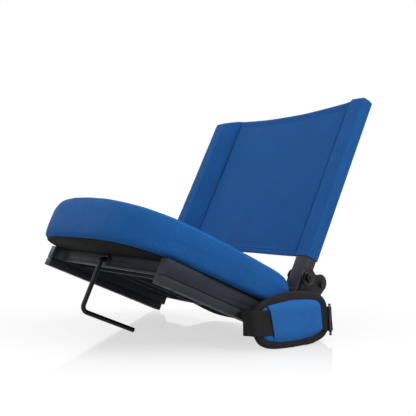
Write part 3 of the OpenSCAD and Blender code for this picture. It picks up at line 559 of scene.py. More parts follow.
def joined(parts, name):
    pick(parts[0])
    for part in parts[1:]:
        part.select_set(True)
    bpy.ops.object.join()
    parts[0].name = name
    return parts[0]


def swell(value, power):
    return math.copysign(abs(value) ** (2 / power), value)


def ring_of(count):
    """Cosine and sine at even steps once round."""
    return [(math.cos(ROUND * i / count), math.sin(ROUND * i / count)) for i in range(count)]


def even_line(points, step, closed=True):
    """The same line with its points evenly apart."""
    points = np.array([tuple(p) for p in points])
    if closed:
        points = np.vstack([points, points[:1]])
    run = run_along(points)
    at = np.linspace(0, run[-1], max(4, int(run[-1] / step)), endpoint=not closed)
    return np.stack([np.interp(at, run, points[:, k]) for k in range(3)], 1)


def distance_to(line, points, counted=True):
    """How far points are from a line, in its units; a point that isn't counted is 1 away."""
    away = np.ones(len(points))
    for index in np.flatnonzero(np.broadcast_to(counted, away.shape)):
        away[index] = np.linalg.norm(line - points[index], axis=1).min()
    return away


def surface_of(obj):
    mesh = obj.data
    return BVHTree.FromPolygons([v.co.copy() for v in mesh.vertices], [tuple(p.vertices) for p in mesh.polygons])


def on_surface(obj, line, lift=0.0):
    """Drops a line onto a piece and gives its points and the surface's normals there."""
    skin = surface_of(obj)
    found = [skin.find_nearest(Vector(p))[:2] for p in line]
    return [spot + normal * lift for spot, normal in found], [normal for _, normal in found]


def sides_of(ahead, normal):
    """Across and up from a line that runs over a surface."""
    side = ahead.cross(normal).normalized()
    return side, side.cross(ahead).normalized()


def lines_between(low, high, from_low, from_high, step):
    """Places of cuts: fine ones near both ends and even ones between."""
    first, last = low + from_low[-1], high - from_high[-1]
    count = max(2, round((last - first) / step))
    middle = [first + (last - first) * i / count for i in range(1, count)]
    return [low + d for d in from_low] + middle + [high - d for d in reversed(from_high)]


STITCH, STITCH_GAP, THREAD_R = 2.6, 1.5, 0.26


def stitches(name, piece, line, slot_name, body, closed=False):
    """A row of sewing stitches along a line on a piece, each a small sunk thread."""
    line, normals = on_surface(piece, line, 0.00005)
    bpy.ops.mesh.primitive_uv_sphere_add(segments=6, ring_count=4, radius=1)
    thread = bpy.context.object
    shape = points_of(thread) * (THREAD_R * MM, STITCH / 2 * MM, THREAD_R * MM)
    faces = [tuple(p.vertices) for p in thread.data.polygons]
    bpy.data.objects.remove(thread)
    spots = even_line(line, (STITCH + STITCH_GAP) * MM, closed)
    source = np.array([tuple(p) for p in line])
    points, all_faces = [], []
    for i, spot in enumerate(spots):
        ahead = spots[(i + 1) % len(spots)] - spot if (closed or i + 1 < len(spots)) else spot - spots[i - 1]
        ahead = Vector(ahead).normalized()
        side, up = sides_of(ahead, normals[int(np.linalg.norm(source - spot, axis=1).argmin())])
        start = len(points)
        points.extend((shape @ np.array([tuple(side), tuple(ahead), tuple(up)]) + spot).tolist())
        all_faces.extend(tuple(start + j for j in face) for face in faces)
    mesh = bpy.data.meshes.new(name)
    mesh.from_pydata(points, [], all_faces)
    row = linked(name, mesh)
    thread_map(row)
    dress(row, slot_name, body, angle=80, finishes=THREADS)


# Seat cushion

def rim_place(c, s, inset):
    """A place of the cushion's outline, in millimetres: rounded in front and square behind."""
    power, reach = (3.4, SEAT_FRONT) if s < 0 else (12, SEAT_REAR)
    return (SEAT_HALF - inset) * swell(c, power), (reach - inset) * swell(s, power)


def fill_height(x, y):
    """How far the filling rises above the cushion's sides, in millimetres."""
    return 16 * (1 - (x / SEAT_HALF) ** 2) - 4 * x / SEAT_HALF - 9 * (np.maximum(0, y) / SEAT_REAR) ** 2


def seat_rim(inset, rise):
    """A line round the cushion at one inset, on the filling."""
    places = [rim_place(c, s, inset) for c, s in ring_of(220)]
    return [(x * MM, y * MM, (SEAT_SIDE_TOP + rise + fill_height(x, y)) * MM) for x, y in places]


FILL_X = (-229, -190, -150, -100, -50, 0, 50, 100, 130, 190, 229)
FILL_RISE = (1.6, 1.8, 1.5, 2.0, 2.3, 1.9, 1.5, 1.1, 1.2, 0.9, 0.6)
SIDE_Y, SIDE_RISE = (-200, -150, -110, -70, -30, 20, 60, 103), (2.8, 3.0, 2.6, 1.8, 1.0, 1.1, 1.9, 1.9)


def fill_rise(x, y):
    """How much higher than the plain filling the stuffed cover stands, in metres; x and y in millimetres."""
    beside = np.interp(y, SIDE_Y, SIDE_RISE) * np.clip((x - 130) / 60, 0, 1)
    return (np.interp(x, FILL_X, FILL_RISE) + beside) * MM


COVER_FAST = 0.056  # metres: the cover is held on the board up to here
RIM_FROM = 0.066    # metres: and its rim is looked for from here up


def seat_cover():
    cover = copy_of("seat_cushion", "seat_cover")
    plain = surface_of(cover)
    corner = even_line(seat_rim(5, -4), 0.004)

    def held(points):
        away = distance_to(corner, points, points[:, 2] > RIM_FROM)
        return np.maximum(np.clip((COVER_FAST - points[:, 2]) / 0.010, 0, 1), np.exp(-(away / 0.016) ** 2))

    puffed(cover, held, voxel=0.0055, pressure=4.0, cap=0.0035, shrink=0.0016)
    points, normals = points_of(cover), normals_of(cover)
    snug = np.where(points[:, 2] < COVER_FAST, np.clip((0.0505 - points[:, 2]) / 0.005, 0, 1), held(points))
    for index in np.flatnonzero(snug > 0.02):
        near = plain.find_nearest(Vector(points[index]))[0]
        points[index] += (np.array(near) - points[index]) * snug[index]
    free = 1 - np.clip((COVER_FAST - points[:, 2]) / 0.008, 0, 1)
    upper = np.clip((points[:, 2] - 0.07) / 0.02, 0, 1)
    away = distance_to(corner, points, upper > 0)
    points[:, 2] += 0.0030 * np.exp(-(away / 0.018) ** 2) * upper
    x, y = points[:, 0] / MM, points[:, 1] / MM
    crown = (SEAT_SIDE_TOP + 2.0 + fill_height(x, y)) * MM + 0.14 * np.maximum(0, away - 0.006)
    soft = 0.001 + 0.0015 * np.clip(away / 0.04, 0, 1)
    over = np.maximum(0, points[:, 2] - crown + soft)
    points[:, 2] -= over - soft * (1 - np.exp(-over / soft))
    points[:, 2] += fill_rise(x, y) * upper * upper * (3 - 2 * upper) * np.exp(-(away / 0.06) ** 2)
    slack = np.array([ripple(p, 9, 3.1) * 0.0011 + ripple(p, 26, 8.3) * 0.0004 for p in points])
    pull = np.array([ripple((math.atan2(p[1] + 0.05, p[0]) * 0.2, 0, p[2] * 0.12), 90, 1.7) for p in points])
    on_side = np.clip(1 - np.abs(normals[:, 2]) * 1.4, 0, 1)
    points += normals * ((slack + pull * on_side * 0.0004) * free)[:, None]
    set_points(cover, points)

    rim, _ = on_surface(cover, [(px, py, pz + fill_rise(px / MM, py / MM)) for px, py, pz in seat_rim(4.6, -0.4)])
    rim = even_line(rim, 0.004)
    from_rim = distance_to(rim, points, points[:, 2] > RIM_FROM)
    points -= normals * (0.00015 * np.exp(-(from_rim / 0.0036) ** 2))[:, None]
    set_points(cover, points)
    thread_map(cover)
    dress(cover, "seat_fabric", "frame", "seat_cushion", angle=0)

    # The welt takes a lighter blue than the cover: painted highlight along the cushion's top edge.
    spots, normals = on_surface(cover, even_line(rim, 0.0035))
    sections = []
    for i, (spot, normal) in enumerate(zip(spots, normals)):
        side, up = sides_of((spots[(i + 1) % len(spots)] - spots[i - 1]).normalized(), normal)
        sections.append([spot + up * (0.0002 + 0.0008 * s) + side * (0.0009 * c) for c, s in ring_of(10)])
    dress(loft("seat_welt", sections, ring=True), "seat_fabric", "frame", angle=60, finishes=THREADS)


TRIM = ((15.6, 38.25), (11, 38.2), (9.6, 38.35), (9.0, 38.8), (8.8, 39.4),  # inset and height in millimetres
        (9.2, 40.0), (10.4, 40.3), (12, 40.1), (14, 39.7), (15.6, 39.4))


def seat_trim():
    """The black edge of the board, seen all round under the cushion."""
    sections = [[Vector((*rim_place(c, s, inset), z)) * MM for inset, z in TRIM] for c, s in ring_of(200)]
    dress(loft("seat_trim", sections, ring=True), "board", "frame")


# Back

HEM = [0, 0.5, 1.4, 4.5, 7.6, 8.6, HEM_SEAM, 9.8, 10.9, 11.5, 12.6, 16]


def back_place(x, y, z):
    return BACK_FRAME @ (Vector((x, y, z)) * MM)


def panel_top(x):
    """Height of the back's upper edge: sagging between the posts, rounded down over them."""
    if x <= SLEEVE_IN:
        return PANEL_TOP - PANEL_SAG * (1 - (x / SLEEVE_IN) ** 2)
    return SLEEVE_TOP + (PANEL_TOP - SLEEVE_TOP) * (1 - min(1, (x - SLEEVE_IN) / SLEEVE_W) ** 2)


def broad_wave(x, z):
    return waver(x * 0.011, z * 0.011, 9.1) * 1.3


def panel_point(x, height, side):
    """A point of the stretched panel, in the frame of the back. Side is 1 on the rear face."""
    far = abs(x)
    base = PANEL_LOW - (PANEL_LOW - SLEEVE_LOW) * min(1, max(0, (far - SLEEVE_IN + 1) / 2))
    tall = panel_top(far) - base
    z = base + height * tall
    hem = min(height, 1 - height) * tall
    thick = CLOTH / 2 + 0.6 * min(1, max(0, (12.2 - hem) / 1.2))
    if abs(hem - HEM_SEAM) < 0.5:
        thick -= 0.5
    if hem < 1:
        thick *= 0.75
    billow = BILLOW * (1 - min(1, far / SLEEVE_IN) ** 2) * math.sin(math.pi * height)
    near_seam = math.exp((far - SLEEVE_IN) / 26) if far < SLEEVE_IN else 0
    wave = waver(z * 0.045, x * 0.008, 4.2) * 0.9 * near_seam * min(1, hem / 25)
    wave += broad_wave(x, z) * min(1, max(0, 1 - far / SLEEVE_IN) * 5)
    y = SLEEVE_D / 2 - CLOTH / 2 + billow * 0.9 + wave + side * thick
    bend = 3
    if far > SLEEVE_OUT - bend:
        turn_by = (far - (SLEEVE_OUT - bend)) / bend * math.pi / 2
        reach = bend if side > 0 else bend - 2 * thick
        x = math.copysign(SLEEVE_OUT - bend + reach * math.sin(turn_by), x)
        y = SLEEVE_D / 2 - bend + reach * math.cos(turn_by)
    return back_place(x, y, z)


def back_panel():
    """One sheet behind both posts, with folded hems above and below and its seams beside the sleeves."""
    seam = [0, 1.2, 2.1, 3, 4, 5.5, 8, 12]
    columns = lines_between(-SLEEVE_IN, SLEEVE_IN, seam, seam, 6.5)
    outer = [SLEEVE_IN + d for d in (1.2, 2.2, 4, 9, 16, 23, 27.5, 29, 29.7, 30.4, 31.2, 32)]
    columns = [-c for c in reversed(outer)] + columns + outer
    heights = [h / 300 for h in lines_between(0, 300, HEM, HEM, 6.5)]
    panel = laid_grid("back_panel", len(columns), len(heights),
                      lambda column, row, face: panel_point(columns[column], heights[row], -face))
    thread_map(panel, BACK_FRAME)
    dress(panel, "back_fabric", "back", "back_cover", angle=50)
    return panel


def sleeve_outline():
    """The left sleeve's section: the sewn flap, the slope forward to the post, its front and its side."""
    seam, rear, front = SLEEVE_IN - FLAP, SLEEVE_D / 2 - CLOTH / 2, -SLEEVE_D / 2 + 0.2
    line = [(seam - 5.4, rear - 1.5), (seam - 4.7, rear - 3.1), (seam - 2.4, rear - 3.0), (seam - 0.9, rear - 1.7),
            (seam, rear - 1.3), (seam + 0.9, rear - 1.8), (seam + 2.5, rear - 3.0)]
    corner = SLEEVE_IN + 2.2
    start_x, start_y = line[-1]
    for k in range(1, 8):
        t = k / 8
        sag = math.sin(math.pi * t) * 1.1
        line.append((start_x + (corner - 1.8 - start_x) * t - sag * 0.6,
                     start_y + (front + 2.2 - start_y) * t + sag * 0.4))
    line += [(corner - 1.8, front + 2.2), (corner - 0.6, front + 0.9), (corner + 0.9, front + 0.2)]
    bend = 3.4
    line += [(corner + 3 + k * (SLEEVE_OUT - bend - corner - 3) / 7, front) for k in range(8)]
    for k in range(1, 6):
        a = math.pi / 2 * k / 5
        line.append((SLEEVE_OUT - bend + bend * math.sin(a), front + bend - bend * math.cos(a)))
    return line + [(SLEEVE_OUT, front + bend + k * (rear - 2.0 - front - bend) / 5) for k in range(1, 6)]


def post_sleeve(side, name):
    """The sleeve over one post, sewn to the panel along its flap and closed on top."""
    outline = sleeve_outline()
    heights = lines_between(0, 300, HEM, [3, 6, 10], 6.5)
    lid = [0.06, 0.16, 0.3, 0.5, 0.75, 1.0]
    rear = SLEEVE_D / 2 - 1.4

    def place(column, row, _):
        x, y = outline[column]
        ahead, behind = outline[min(len(outline) - 1, column + 1)], outline[max(0, column - 1)]
        run = math.dist(ahead, behind)
        away = min(1, max(0, (SLEEVE_IN + 2 - x) / FLAP))
        low = SLEEVE_LOW + (PANEL_LOW - SLEEVE_LOW) * away ** 0.7 + 0.3
        top = SLEEVE_TOP + (panel_top(x) - SLEEVE_TOP - 1.0) * away
        on_panel = max(0.0, 1 - abs(SLEEVE_IN - FLAP - 2 - x) / 10)
        share = heights[min(row, len(heights) - 1)] / 300
        z = low + share * (top - low)
        if column < 4:
            y += 1.4 * (1 - min(1, max(0, top - z) / 25))
        if column < 7:
            y += BILLOW * (1 - (x / SLEEVE_IN) ** 2) * math.sin(math.pi * share) * 0.9 + broad_wave(x, z)
        slack = waver(x * 0.038 + side, y * 0.038, z * 0.013) * 0.75
        slack += waver(x * 0.02, y * 0.02 + side * 3, z * 0.042) * 0.35
        push = 0.35 * (z - low < HEM_FOLD) - 0.4 * (abs(z - low - HEM_SEAM) < 0.5)
        push += slack * min(1, max(0.25, (top - z) / 30)) * (1 - on_panel)
        px, py = x + (ahead[1] - behind[1]) / run * push, y - (ahead[0] - behind[0]) / run * push
        if row >= len(heights):
            t = lid[row - len(heights)]
            px, py = px + (min(x, SLEEVE_OUT - 2.2) - px) * t, py + (rear - py) * t
            z = top + (panel_top(px) - 1.2 - top) * t + 1.3 * math.sqrt(min(1, t * 5)) * (1 - t) + 0.3 * t
        return back_place(side * min(px, SLEEVE_OUT + 0.7), py, z)

    sleeve = laid_grid(name, len(outline), len(heights) + len(lid), place, doubled=False)
    if (normals_of(sleeve) @ np.array(BACK_FRAME)[:3, 1]).mean() > 0:
        with editing(sleeve):
            bpy.ops.mesh.flip_normals()
    finish_with(sleeve, "SOLIDIFY", thickness=CLOTH * 0.75 * MM, offset=-1)
    thread_map(sleeve, BACK_FRAME)
    dress(sleeve, "back_fabric", "back", angle=50)
    return sleeve


def back_sewing(panel, sleeves):
    for label, from_edge in (("low", HEM_SEAM), ("top", -HEM_SEAM)):
        for face, side in (("front", -1), ("rear", 1)):
            line = []
            for i in range(90):
                x = -SLEEVE_IN + 3 + (2 * SLEEVE_IN - 6) * i / 89
                height = from_edge / (panel_top(abs(x)) - PANEL_LOW)
                line.append(panel_point(x, height if height > 0 else 1 + height, side))
            stitches(f"panel_stitches_{label}_{face}", panel, line, "back_fabric", "back")
    seam, hem_z = SLEEVE_IN - FLAP, SLEEVE_LOW + 9.5
    for side, sleeve, tag in zip((1, -1), sleeves, ("left", "right")):
        for face, piece, y in (("rear", panel, 15), ("front", sleeve, 9)):
            line = [back_place(side * seam, y, z) for z in range(42, PANEL_TOP - 16, 4)]
            stitches(f"seam_stitches_{tag}_{face}", piece, line, "back_fabric", "back")
        line = [(seam + FLAP * t, SLEEVE_D / 2 - 2 - t * (SLEEVE_D - 4), hem_z + 6 * (1 - t) ** 0.7)
                for t in (0.25, 0.5, 0.75)]
        line += [(SLEEVE_IN + 3.4 + (SLEEVE_W - 6.8) * t / 6, -SLEEVE_D / 2, hem_z) for t in range(7)]
        line += [(SLEEVE_OUT, y, hem_z) for y in (-9, -4, 0, 4, 9)]
        line = [back_place(side * x, y, z) for x, y, z in line]
        stitches(f"sleeve_stitches_{tag}", sleeve, line, "back_fabric", "back")


# Shoulder pad and strap

def lean_points(points_mm):
    return [LEAN_FRAME @ (Vector(p) * MM) for p in points_mm]


def band_width(c, upper):
    """Share of the binding's width: narrower at the pad's front end, wider at its rear end and along its top."""
    c = np.asarray(c)
    return 1 + np.where(c > 0, 0.25, 0.24) * c + 0.3 * np.exp(-(c / 0.4) ** 2) * upper


def band_share(e, upper):
    return band_width(np.sign(e) * np.clip(np.abs(e) / (PAD_L / 2), 0, 1) ** 2, upper)


def pad_spot(c, s, inset):
    """A place of the pad's outline in its own frame: along and across, in millimetres."""
    u = swell(c, 4)
    part = 1 - 0.3 * max(0, -u) if s > 0 else 1 - 0.08 * max(0, u)
    along = (PAD_L / 2 - inset) * u + PAD_REACH * max(0, u) ** 2
    return along, (PAD_H / 2 - inset) * swell(s, 3.4) * part - PAD_DROP


def pad_edge(inset, count):
    return [pad_spot(c, s, inset) for c, s in ring_of(count)]


def pad_filling():
    filling = copy_of("shoulder_pad", "pad_filling")
    puffed(filling, lambda points: np.zeros(len(points)), voxel=0.0026, pressure=5.0, cap=0.0022, shrink=0.0012)
    local = carried(points_of(filling), LEAN_FRAME.inverted()) / MM
    local[:, 1] += PAD_REACH * (np.maximum(0, local[:, 1]) / (PAD_L / 2)) ** 2
    local[:, 2] -= PAD_DROP
    inside = distance_to(np.array(pad_edge(0, 240)), local[:, 1:])
    swollen = np.clip((inside - 10.8 * band_share(local[:, 1], local[:, 2] > 0)) / 8, 0, 1)
    swollen = 1 - (1 - swollen) ** 2
    local[:, 0] = np.clip(local[:, 0], PAD_X + 2.3 - 2.0 * swollen, PAD_X + 10.1 + (PAD_T - 10.3) * swollen)
    local[:, 0] += np.array([ripple(p * MM, 60, 5.5) for p in local]) * 0.25
    set_points(filling, carried(local * MM, LEAN_FRAME))
    thread_map(filling, LEAN_FRAME)
    dress(filling, "pad_fabric", "frame", "shoulder_pad", angle=0)


# Section of the binding: how far in from the pad's edge and how far out from its inner face, in millimetres
BAND = [(11.6, 11.2), (10.4, 11.7), (7.5, 11.9), (4.2, 11.5), (1.8, 10.3), (0.4, 8.5), (0, 6.4), (0.4, 4.3), (1.6, 2.5),
        (3.8, 1.3), (6.5, 0.9), (9.4, 1.0), (11.2, 1.3), (11.2, 2.2), (8.6, 2.0), (6.0, 2.0), (3.8, 2.5), (2.1, 3.6),
        (1.2, 5.0), (1.1, 6.4), (1.2, 7.8), (2.1, 9.2), (4.0, 10.4), (6.5, 10.8), (9.2, 10.7), (11.6, 10.3)]


def pad_band():
    """The binding: a band folded over the pad's edge, with its two ends lapped below."""
    sections = []
    for i, (c, s) in enumerate(ring_of(168)):
        lap = 0.6 if 130 <= i <= 135 else 0.0
        drift = waver(c * 3, s * 3, 1.5)
        section = []
        for inset, x in BAND:
            inset = (inset + drift * 0.5 * (inset / 11.6)) * float(band_width(c, s > 0)) - lap
            x = x + (lap if x > 6.4 else -lap) * 0.6 + drift * 0.15
            section.append((PAD_X + x,) + pad_spot(c, s, inset))
        sections.append(lean_points(section))
    band = loft("pad_band", sections, ring=True)
    dress(band, "binding", "frame", "pad_binding", angle=45)
    for label, x in (("outer", 11.75), ("inner", 0.85)):
        line = lean_points([(PAD_X + x, e, n) for e, n in pad_edge(9.6, 200)])
        stitches(f"band_stitches_{label}", band, line, "binding", "frame", closed=True)


def edge_at(e, inset, upper):
    """Height of the pad's outline over a place along it."""
    half = PAD_L / 2 - inset
    u = e / half if e < 0 else (math.sqrt(half * half + 4 * PAD_REACH * e) - half) / (2 * PAD_REACH)
    c = swell(max(-1, min(1, u)), 1)
    s = math.sqrt(max(0, 1 - c * c))
    return pad_spot(c, s if upper else -s, inset)[1]


def pad_pocket():
    """The sheet sewn over the strap on the pad's outer face."""
    start, end, rows = -47.5, 58.5, 46
    columns = lines_between(start, end, [0, 0.5, 1.3, 3, 5, 5.9, 6.5, 7.1, 9], [0, 0.5, 1.3, 3, 5, 8], 3.2)
    top, low = ({c: edge_at(c, 10.6 * float(band_share(c, upper)), upper) for c in columns} for upper in (1, 0))

    def slanted(n):
        return 8.8 * (24 - n) / 57.6

    def place(column, row, face):
        e = columns[column]
        n = low[e] + (top[e] - low[e]) * row / rows
        raised = 1 / (1 + math.exp((abs(n - WEB_N) - 22.5) / 2.3))
        shoulder = min(1, max(0, min(n - low[e], top[e] - n)) / 6)
        level = 11.1 + 2.4 * shoulder ** 0.7 + 2.9 * raised * min(1, shoulder * 1.6)
        level += 0.3 * waver(e * 0.05, n * 0.05, 6.6) + waver(e * 0.13, n * 0.03, 2.6) * 0.25 * raised
        thick = 0.45 + 0.3 * (e - start < 6.5) - 0.25 * (abs(e - start - 5.9) < 0.4)
        slant = (slanted(n) * (end - e) / (end - start) - 1.0) * min(1, (end - e) / 6)
        return lean_points([(PAD_X + level + face * thick, e + slant, n)])[0]

    pocket = laid_grid("pad_pocket", len(columns), rows + 1, place)
    thread_map(pocket, LEAN_FRAME)
    dress(pocket, "pad_fabric", "frame", "pad_sleeve", angle=50)
    area = sum(0.5 * (top[a] - low[a] + top[b] - low[b]) * (b - a) for a, b in zip(columns, columns[1:])) * 1e-6
    heights = [low[start] + 4 + (top[start] - low[start] - 8) * k / 30 for k in range(31)]
    line = lean_points([(PAD_X + 17, start + 4.9 + slanted(n) * 0.95, n) for n in heights])
    stitches("pocket_stitches", pocket, line, "pad_fabric", "frame")


def bar_place(k):
    """Place of one of the slider's bars across and along the strap: its face turns in behind the pad's end."""
    a = math.radians(SLIDER_TURN)
    away = k * BAR_STEP
    return WEB_X + 2.6 - away * math.sin(a), SLIDER_E - BAR_STEP + 1 + away * math.cos(a)


def strap_rows():
    """Stations of the strap: position in millimetres, tilt and lean in degrees."""
    tilt = math.radians(PAD_TILT)

    def beside(e, x, n, lean, turned=PAD_TILT):
        return (x, PAD_Y + e * math.cos(tilt) - n * math.sin(tilt), PAD_Z + e * math.sin(tilt) + n * math.cos(tilt),
                turned, lean)

    def threaded(k, side):
        x, e = bar_place(k)
        a = math.radians(SLIDER_TURN)
        return beside(e + side * 2.6 * math.sin(a), x + side * 2.6 * math.cos(a), WEB_N - 2.5, WEB_LEAN)

    near, half = 218.65, PAD_L / 2
    rows = [beside(e, near, -13, 0) for e in (2, -9, -20, -25)]
    rows += [beside(30 - half, near + 0.6, -11, 0), beside(8 - half, near + 2, -8, 1),
             beside(-half - 3, near + 4.6, -6, 2, 26), beside(-half - 7.5, near + 10, -4.5, 3, 31),
             beside(-half - 7.5, near + 18, -4, 5, 31), beside(-half - 5, WEB_X - 4.2, -3.8, 7, 27),
             beside(0.5 - half, WEB_X - 0.1, WEB_N, WEB_LEAN)]
    rows += [beside(e, WEB_X, WEB_N, WEB_LEAN) for e in (8 - half, 0, half - 13)]
    rows += [threaded(0, -1), threaded(1, 1), threaded(2, -1),
             beside(90, 237.5, WEB_N - 3.5, 7), beside(93.5, 230, -9, 4), beside(97, 220, -12.5, 1)]
    for share, behind, rise, turned in (
            (0.956, 47, 13, 21), (0.818, 46, 10, 20), (0.68, 43, 8, 19), (0.541, 39, 5.6, 17), (0.442, 35.6, 4.5, 15.5),
            (0.387, 33.2, 4, 14.5), (0.331, 30, 3.3, 13), (0.257, 25.6, 4, 11), (0.188, 20, 7.2, 8),
            (0.113, 12.8, 12, 4), (0.069, 8, 14.4, 1.5)):
        rows.append((-146 + share * (HALF_BASE + 146), 142 + behind, 38 + rise, turned, 0))
    rows += [(-132, 146.95, 53, 0, 0), (-140, 145.55, 53, 0, 0)] + [(x, 145.35, 53, 0, 0) for x in (-146, -165, -184)]
    return [np.array(r, float) for r in rows]


def carry_webbing():
    """The strap, swept as a flat woven band with rounded edges."""
    rows = strap_rows()
    last = len(rows) - 1
    line = []
    steps = 6
    for i in range(last):
        b, c = rows[i], rows[i + 1]
        a = rows[i - 1] if i else 2 * b - c
        d = rows[i + 2] if i + 2 <= last else 2 * c - b
        before, span, after = (math.sqrt(np.linalg.norm((q - p)[:3])) for p, q in ((a, b), (b, c), (c, d)))
        leave = c - b + span * ((b - a) / before - (c - a) / (before + span))
        arrive = c - b + span * ((d - c) / after - (d - b) / (span + after))
        for k in range(steps):
            t = k / steps
            line.append((2 * t ** 3 - 3 * t * t + 1) * b + (t ** 3 - 2 * t * t + t) * leave
                        + (3 * t * t - 2 * t ** 3) * c + (t ** 3 - t * t) * arrive)
    line.append(rows[last])
    profile = [(swell(c, 9) * WEB_W / 2, swell(s, 2.6) * WEB_T / 2) for c, s in ring_of(28)]
    sections = []
    for i, row in enumerate(line):
        ahead = Vector(line[min(len(line) - 1, i + 1)][:3] - line[max(0, i - 1)][:3]).normalized()
        tilt, lean = math.radians(row[3]), math.radians(row[4])
        wide = Vector((-math.sin(lean), -math.sin(tilt) * math.cos(lean), math.cos(tilt) * math.cos(lean)))
        wide = (wide - ahead * wide.dot(ahead)).normalized()
        thick = wide.cross(ahead)
        centre = Vector(row[:3])
        cup = 0.25 * waver(i * 0.07, 3.3, 1.1)
        sections.append([(centre + wide * w + thick * (h + cup * (1 - (w / 19) ** 2))) * MM for w, h in profile])
    dress(loft("carry_webbing", sections), "webbing", "frame", "strap_webbing", angle=45)


def rounded_rod(name, start, end, thick, wide):
    """A straight moulded bar of the slider with a rounded section and rounded ends, in the pad's frame."""
    start, end = Vector(start), Vector(end)
    length = (end - start).length
    heading = (end - start).normalized()
    a = math.radians(SLIDER_TURN)
    across = Vector((-math.sin(a), math.cos(a), 0)) if abs(heading.z) > 0.5 else Vector((0, 0, 1))
    across = (across - heading * across.dot(heading)).normalized()
    outward = heading.cross(across)
    steps = 12
    sections = []
    for k in range(steps + 1):
        t = k / steps
        near_end = min(t, 1 - t) * length
        shrink = math.sqrt(max(0.06, 1 - max(0, 1 - near_end / (wide * 0.5)) ** 2))
        middle = start + heading * (length * t)
        sections.append(lean_points([middle + (outward * swell(c, 2.8) * thick / 2
                                               + across * swell(s, 2.8) * wide / 2) * shrink for c, s in ring_of(14)]))
    return loft(name, sections)


def strap_slider():
    """Three bars across the strap between two side rails, as one moulding."""
    half, middle_n = WEB_W / 2 + 4.4, WEB_N - 3.3
    parts = []
    for k, wide in enumerate((3.8, 2.6, 3.8)):
        x, e = bar_place(k)
        parts.append(rounded_rod(f"slider_bar_{k}", (x, e - 1.4, middle_n - half), (x, e + 1.4, middle_n + half),
                                 3.3, wide))
    (x0, e0), (x1, e1) = bar_place(-0.06), bar_place(2.06)
    for side in (-1, 1):
        n, step = middle_n + side * half, side * 1.4
        parts.append(rounded_rod(f"slider_side_{side}", (x0, e0 + step, n), (x1, e1 + step, n), 3.7, 4.0))
    dress(joined(parts, "slider_body"), "slider_plastic", "frame", "strap_slider", angle=50)


# Frame pieces and fasteners

def softened_frame():
    """Nodes that keep their own shape, with their hard edges broken a little."""
    for node, width in (
            ("base_tray", 0.0006), ("foot_rail_left", 0.0006), ("foot_rail_right", 0.0006), ("bracket_left", 0.0005),
            ("bracket_right", 0.0005), ("back_post_left", 0.0004), ("back_post_right", 0.0004),
            ("anchor_stand", 0.0005), ("anchor_clamps", 0.0005), ("cushion_board", 0.0008), ("hook_bush", 0.0005)):
        piece = copy_of(node, node + "_dressed")
        with editing(piece):
            bpy.ops.mesh.dissolve_limited(angle_limit=math.radians(1.0))
        finish_with(piece, "BEVEL", width=width, segments=2, limit_method="ANGLE", angle_limit=math.radians(35),
                    use_clamp_overlap=True, harden_normals=False)
        dress(piece, SLOTS[node], BODIES[node], node)


def drum(name, corners, radius, height):
    bpy.ops.mesh.primitive_cylinder_add(vertices=corners, radius=radius * MM, depth=height * MM)
    bpy.context.object.name = name
    return bpy.context.object


def on_top(face):
    return face.normal.z > 0.9


def button_head(name, centre, axis, radius, height, socket):
    """A low round head with a drive socket; axis points outwards."""
    head = drum(name, 32, radius, height)
    rounding = height * 0.45
    with editing(head, on_top):
        bpy.ops.mesh.bevel(offset=rounding * MM, segments=4, affect="EDGES", clamp_overlap=True)
    top = max(face.center.z for face in head.data.polygons)
    with editing(head, lambda face: face.normal.z > 0.99 and face.center.z > top - 0.00001):
        bpy.ops.mesh.inset(thickness=max(0.2, radius - rounding - socket) * MM, depth=0)
        bpy.ops.mesh.inset(thickness=0.15 * MM, depth=-0.3 * MM)
        bpy.ops.mesh.extrude_region_move(TRANSFORM_OT_translate={"value": (0, 0, -rounding * MM)})
    return stand(head, centre, axis)


def hex_nut(name, centre, axis, flats, height, bore):
    """A nut with chamfered corners; axis points outwards."""
    nut = drum(name, 6, flats / 2 / math.cos(math.pi / 6), height)
    with editing(nut, lambda face: abs(face.normal.z) > 0.9):
        bpy.ops.mesh.inset(thickness=(flats / 2 - bore - 1.2) * MM, depth=0)
        bpy.ops.mesh.inset(thickness=0.9 * MM, depth=0.35 * MM)
    finish_with(nut, "BEVEL", width=0.0007, segments=3, limit_method="ANGLE", angle_limit=math.radians(40))
    return stand(nut, centre, axis)


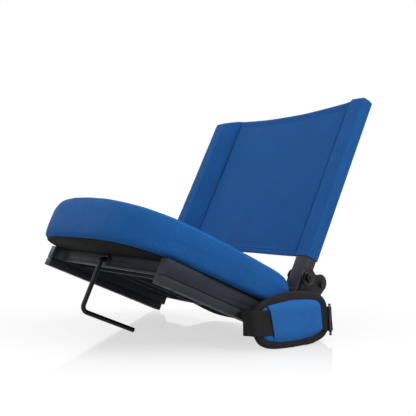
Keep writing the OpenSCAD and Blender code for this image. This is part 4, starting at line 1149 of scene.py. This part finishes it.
def pivot_disc(name, centre, axis):
    """The black washer under a pivot's nut, with a sunk ring; axis points outwards."""
    disc = drum(name, 64, 14.5, 2.2)
    with editing(disc, on_top):
        for thickness, depth in ((2.0, 0), (0.5, -0.7), (3.0, 0), (0.4, 0.6)):
            bpy.ops.mesh.inset(thickness=thickness * MM, depth=depth * MM)
    finish_with(disc, "BEVEL", width=0.0004, segments=2, limit_method="ANGLE", angle_limit=math.radians(30))
    return stand(disc, centre, axis)


def bolt_places():
    """Where the two bolts of each bracket stand along y, in millimetres."""
    y = points_of(NODES["bracket_bolts"])[:, 1] / MM
    middle = (y.min() + y.max()) / 2
    return [(part.min() + part.max()) / 2 for part in (y[y < middle], y[y > middle])]


def fasteners():
    bolt_y = bolt_places()
    discs, nuts, brace, heads = [], [], [], []
    for side in (1, -1):
        out, cheek = (side, 0, 0), side * 223
        discs.append(pivot_disc(f"disc_{side}", (cheek + side * 1.1, PIVOT_Y, PIVOT_Z), out))
        nuts.append(hex_nut(f"nut_{side}", (cheek + side * 5, PIVOT_Y, PIVOT_Z), out, flats=14, height=6, bore=4))
        brace.append(button_head(f"brace_head_{side}", (cheek + side * 2, PIVOT_Y + 34, PIVOT_Z - 1), out,
                                 radius=5.1, height=4, socket=2.2))
        heads += [button_head(f"seat_head_{side}_{k}", (side * 205.5, y, 42.2), (0, 0, 1),
                              radius=5.4, height=3.4, socket=2.3) for k, y in enumerate(bolt_y)]
    for parts, name, slot_name, *node in (
            (discs, "pivot_washers", "disc_plastic", "pivot_discs"),
            (nuts, "pivot_lock_nuts", "bolt_steel", "pivot_nuts"),
            (brace, "brace_bolt_heads", "bolt_steel"), (heads, "bracket_bolt_heads", "bolt_steel")):
        dress(joined(parts, name), slot_name, "frame", *node, angle=35)


def plain_nodes():
    """The nodes whose own shape is right take the new finishes."""
    for node, obj in NODES.items():
        if obj.hide_render:
            continue
        slot_name = SLOTS[node]
        obj.data.materials.clear()
        obj.data.materials.append(MATERIALS[slot_name])


white_world()
studio()
seat_cover()
seat_trim()
sleeves = [post_sleeve(1, "post_sleeve_left"), post_sleeve(-1, "post_sleeve_right")]
back_sewing(back_panel(), sleeves)
pad_filling()
pad_band()
carry_webbing()
pad_pocket()
strap_slider()
softened_frame()
fasteners()
plain_nodes()
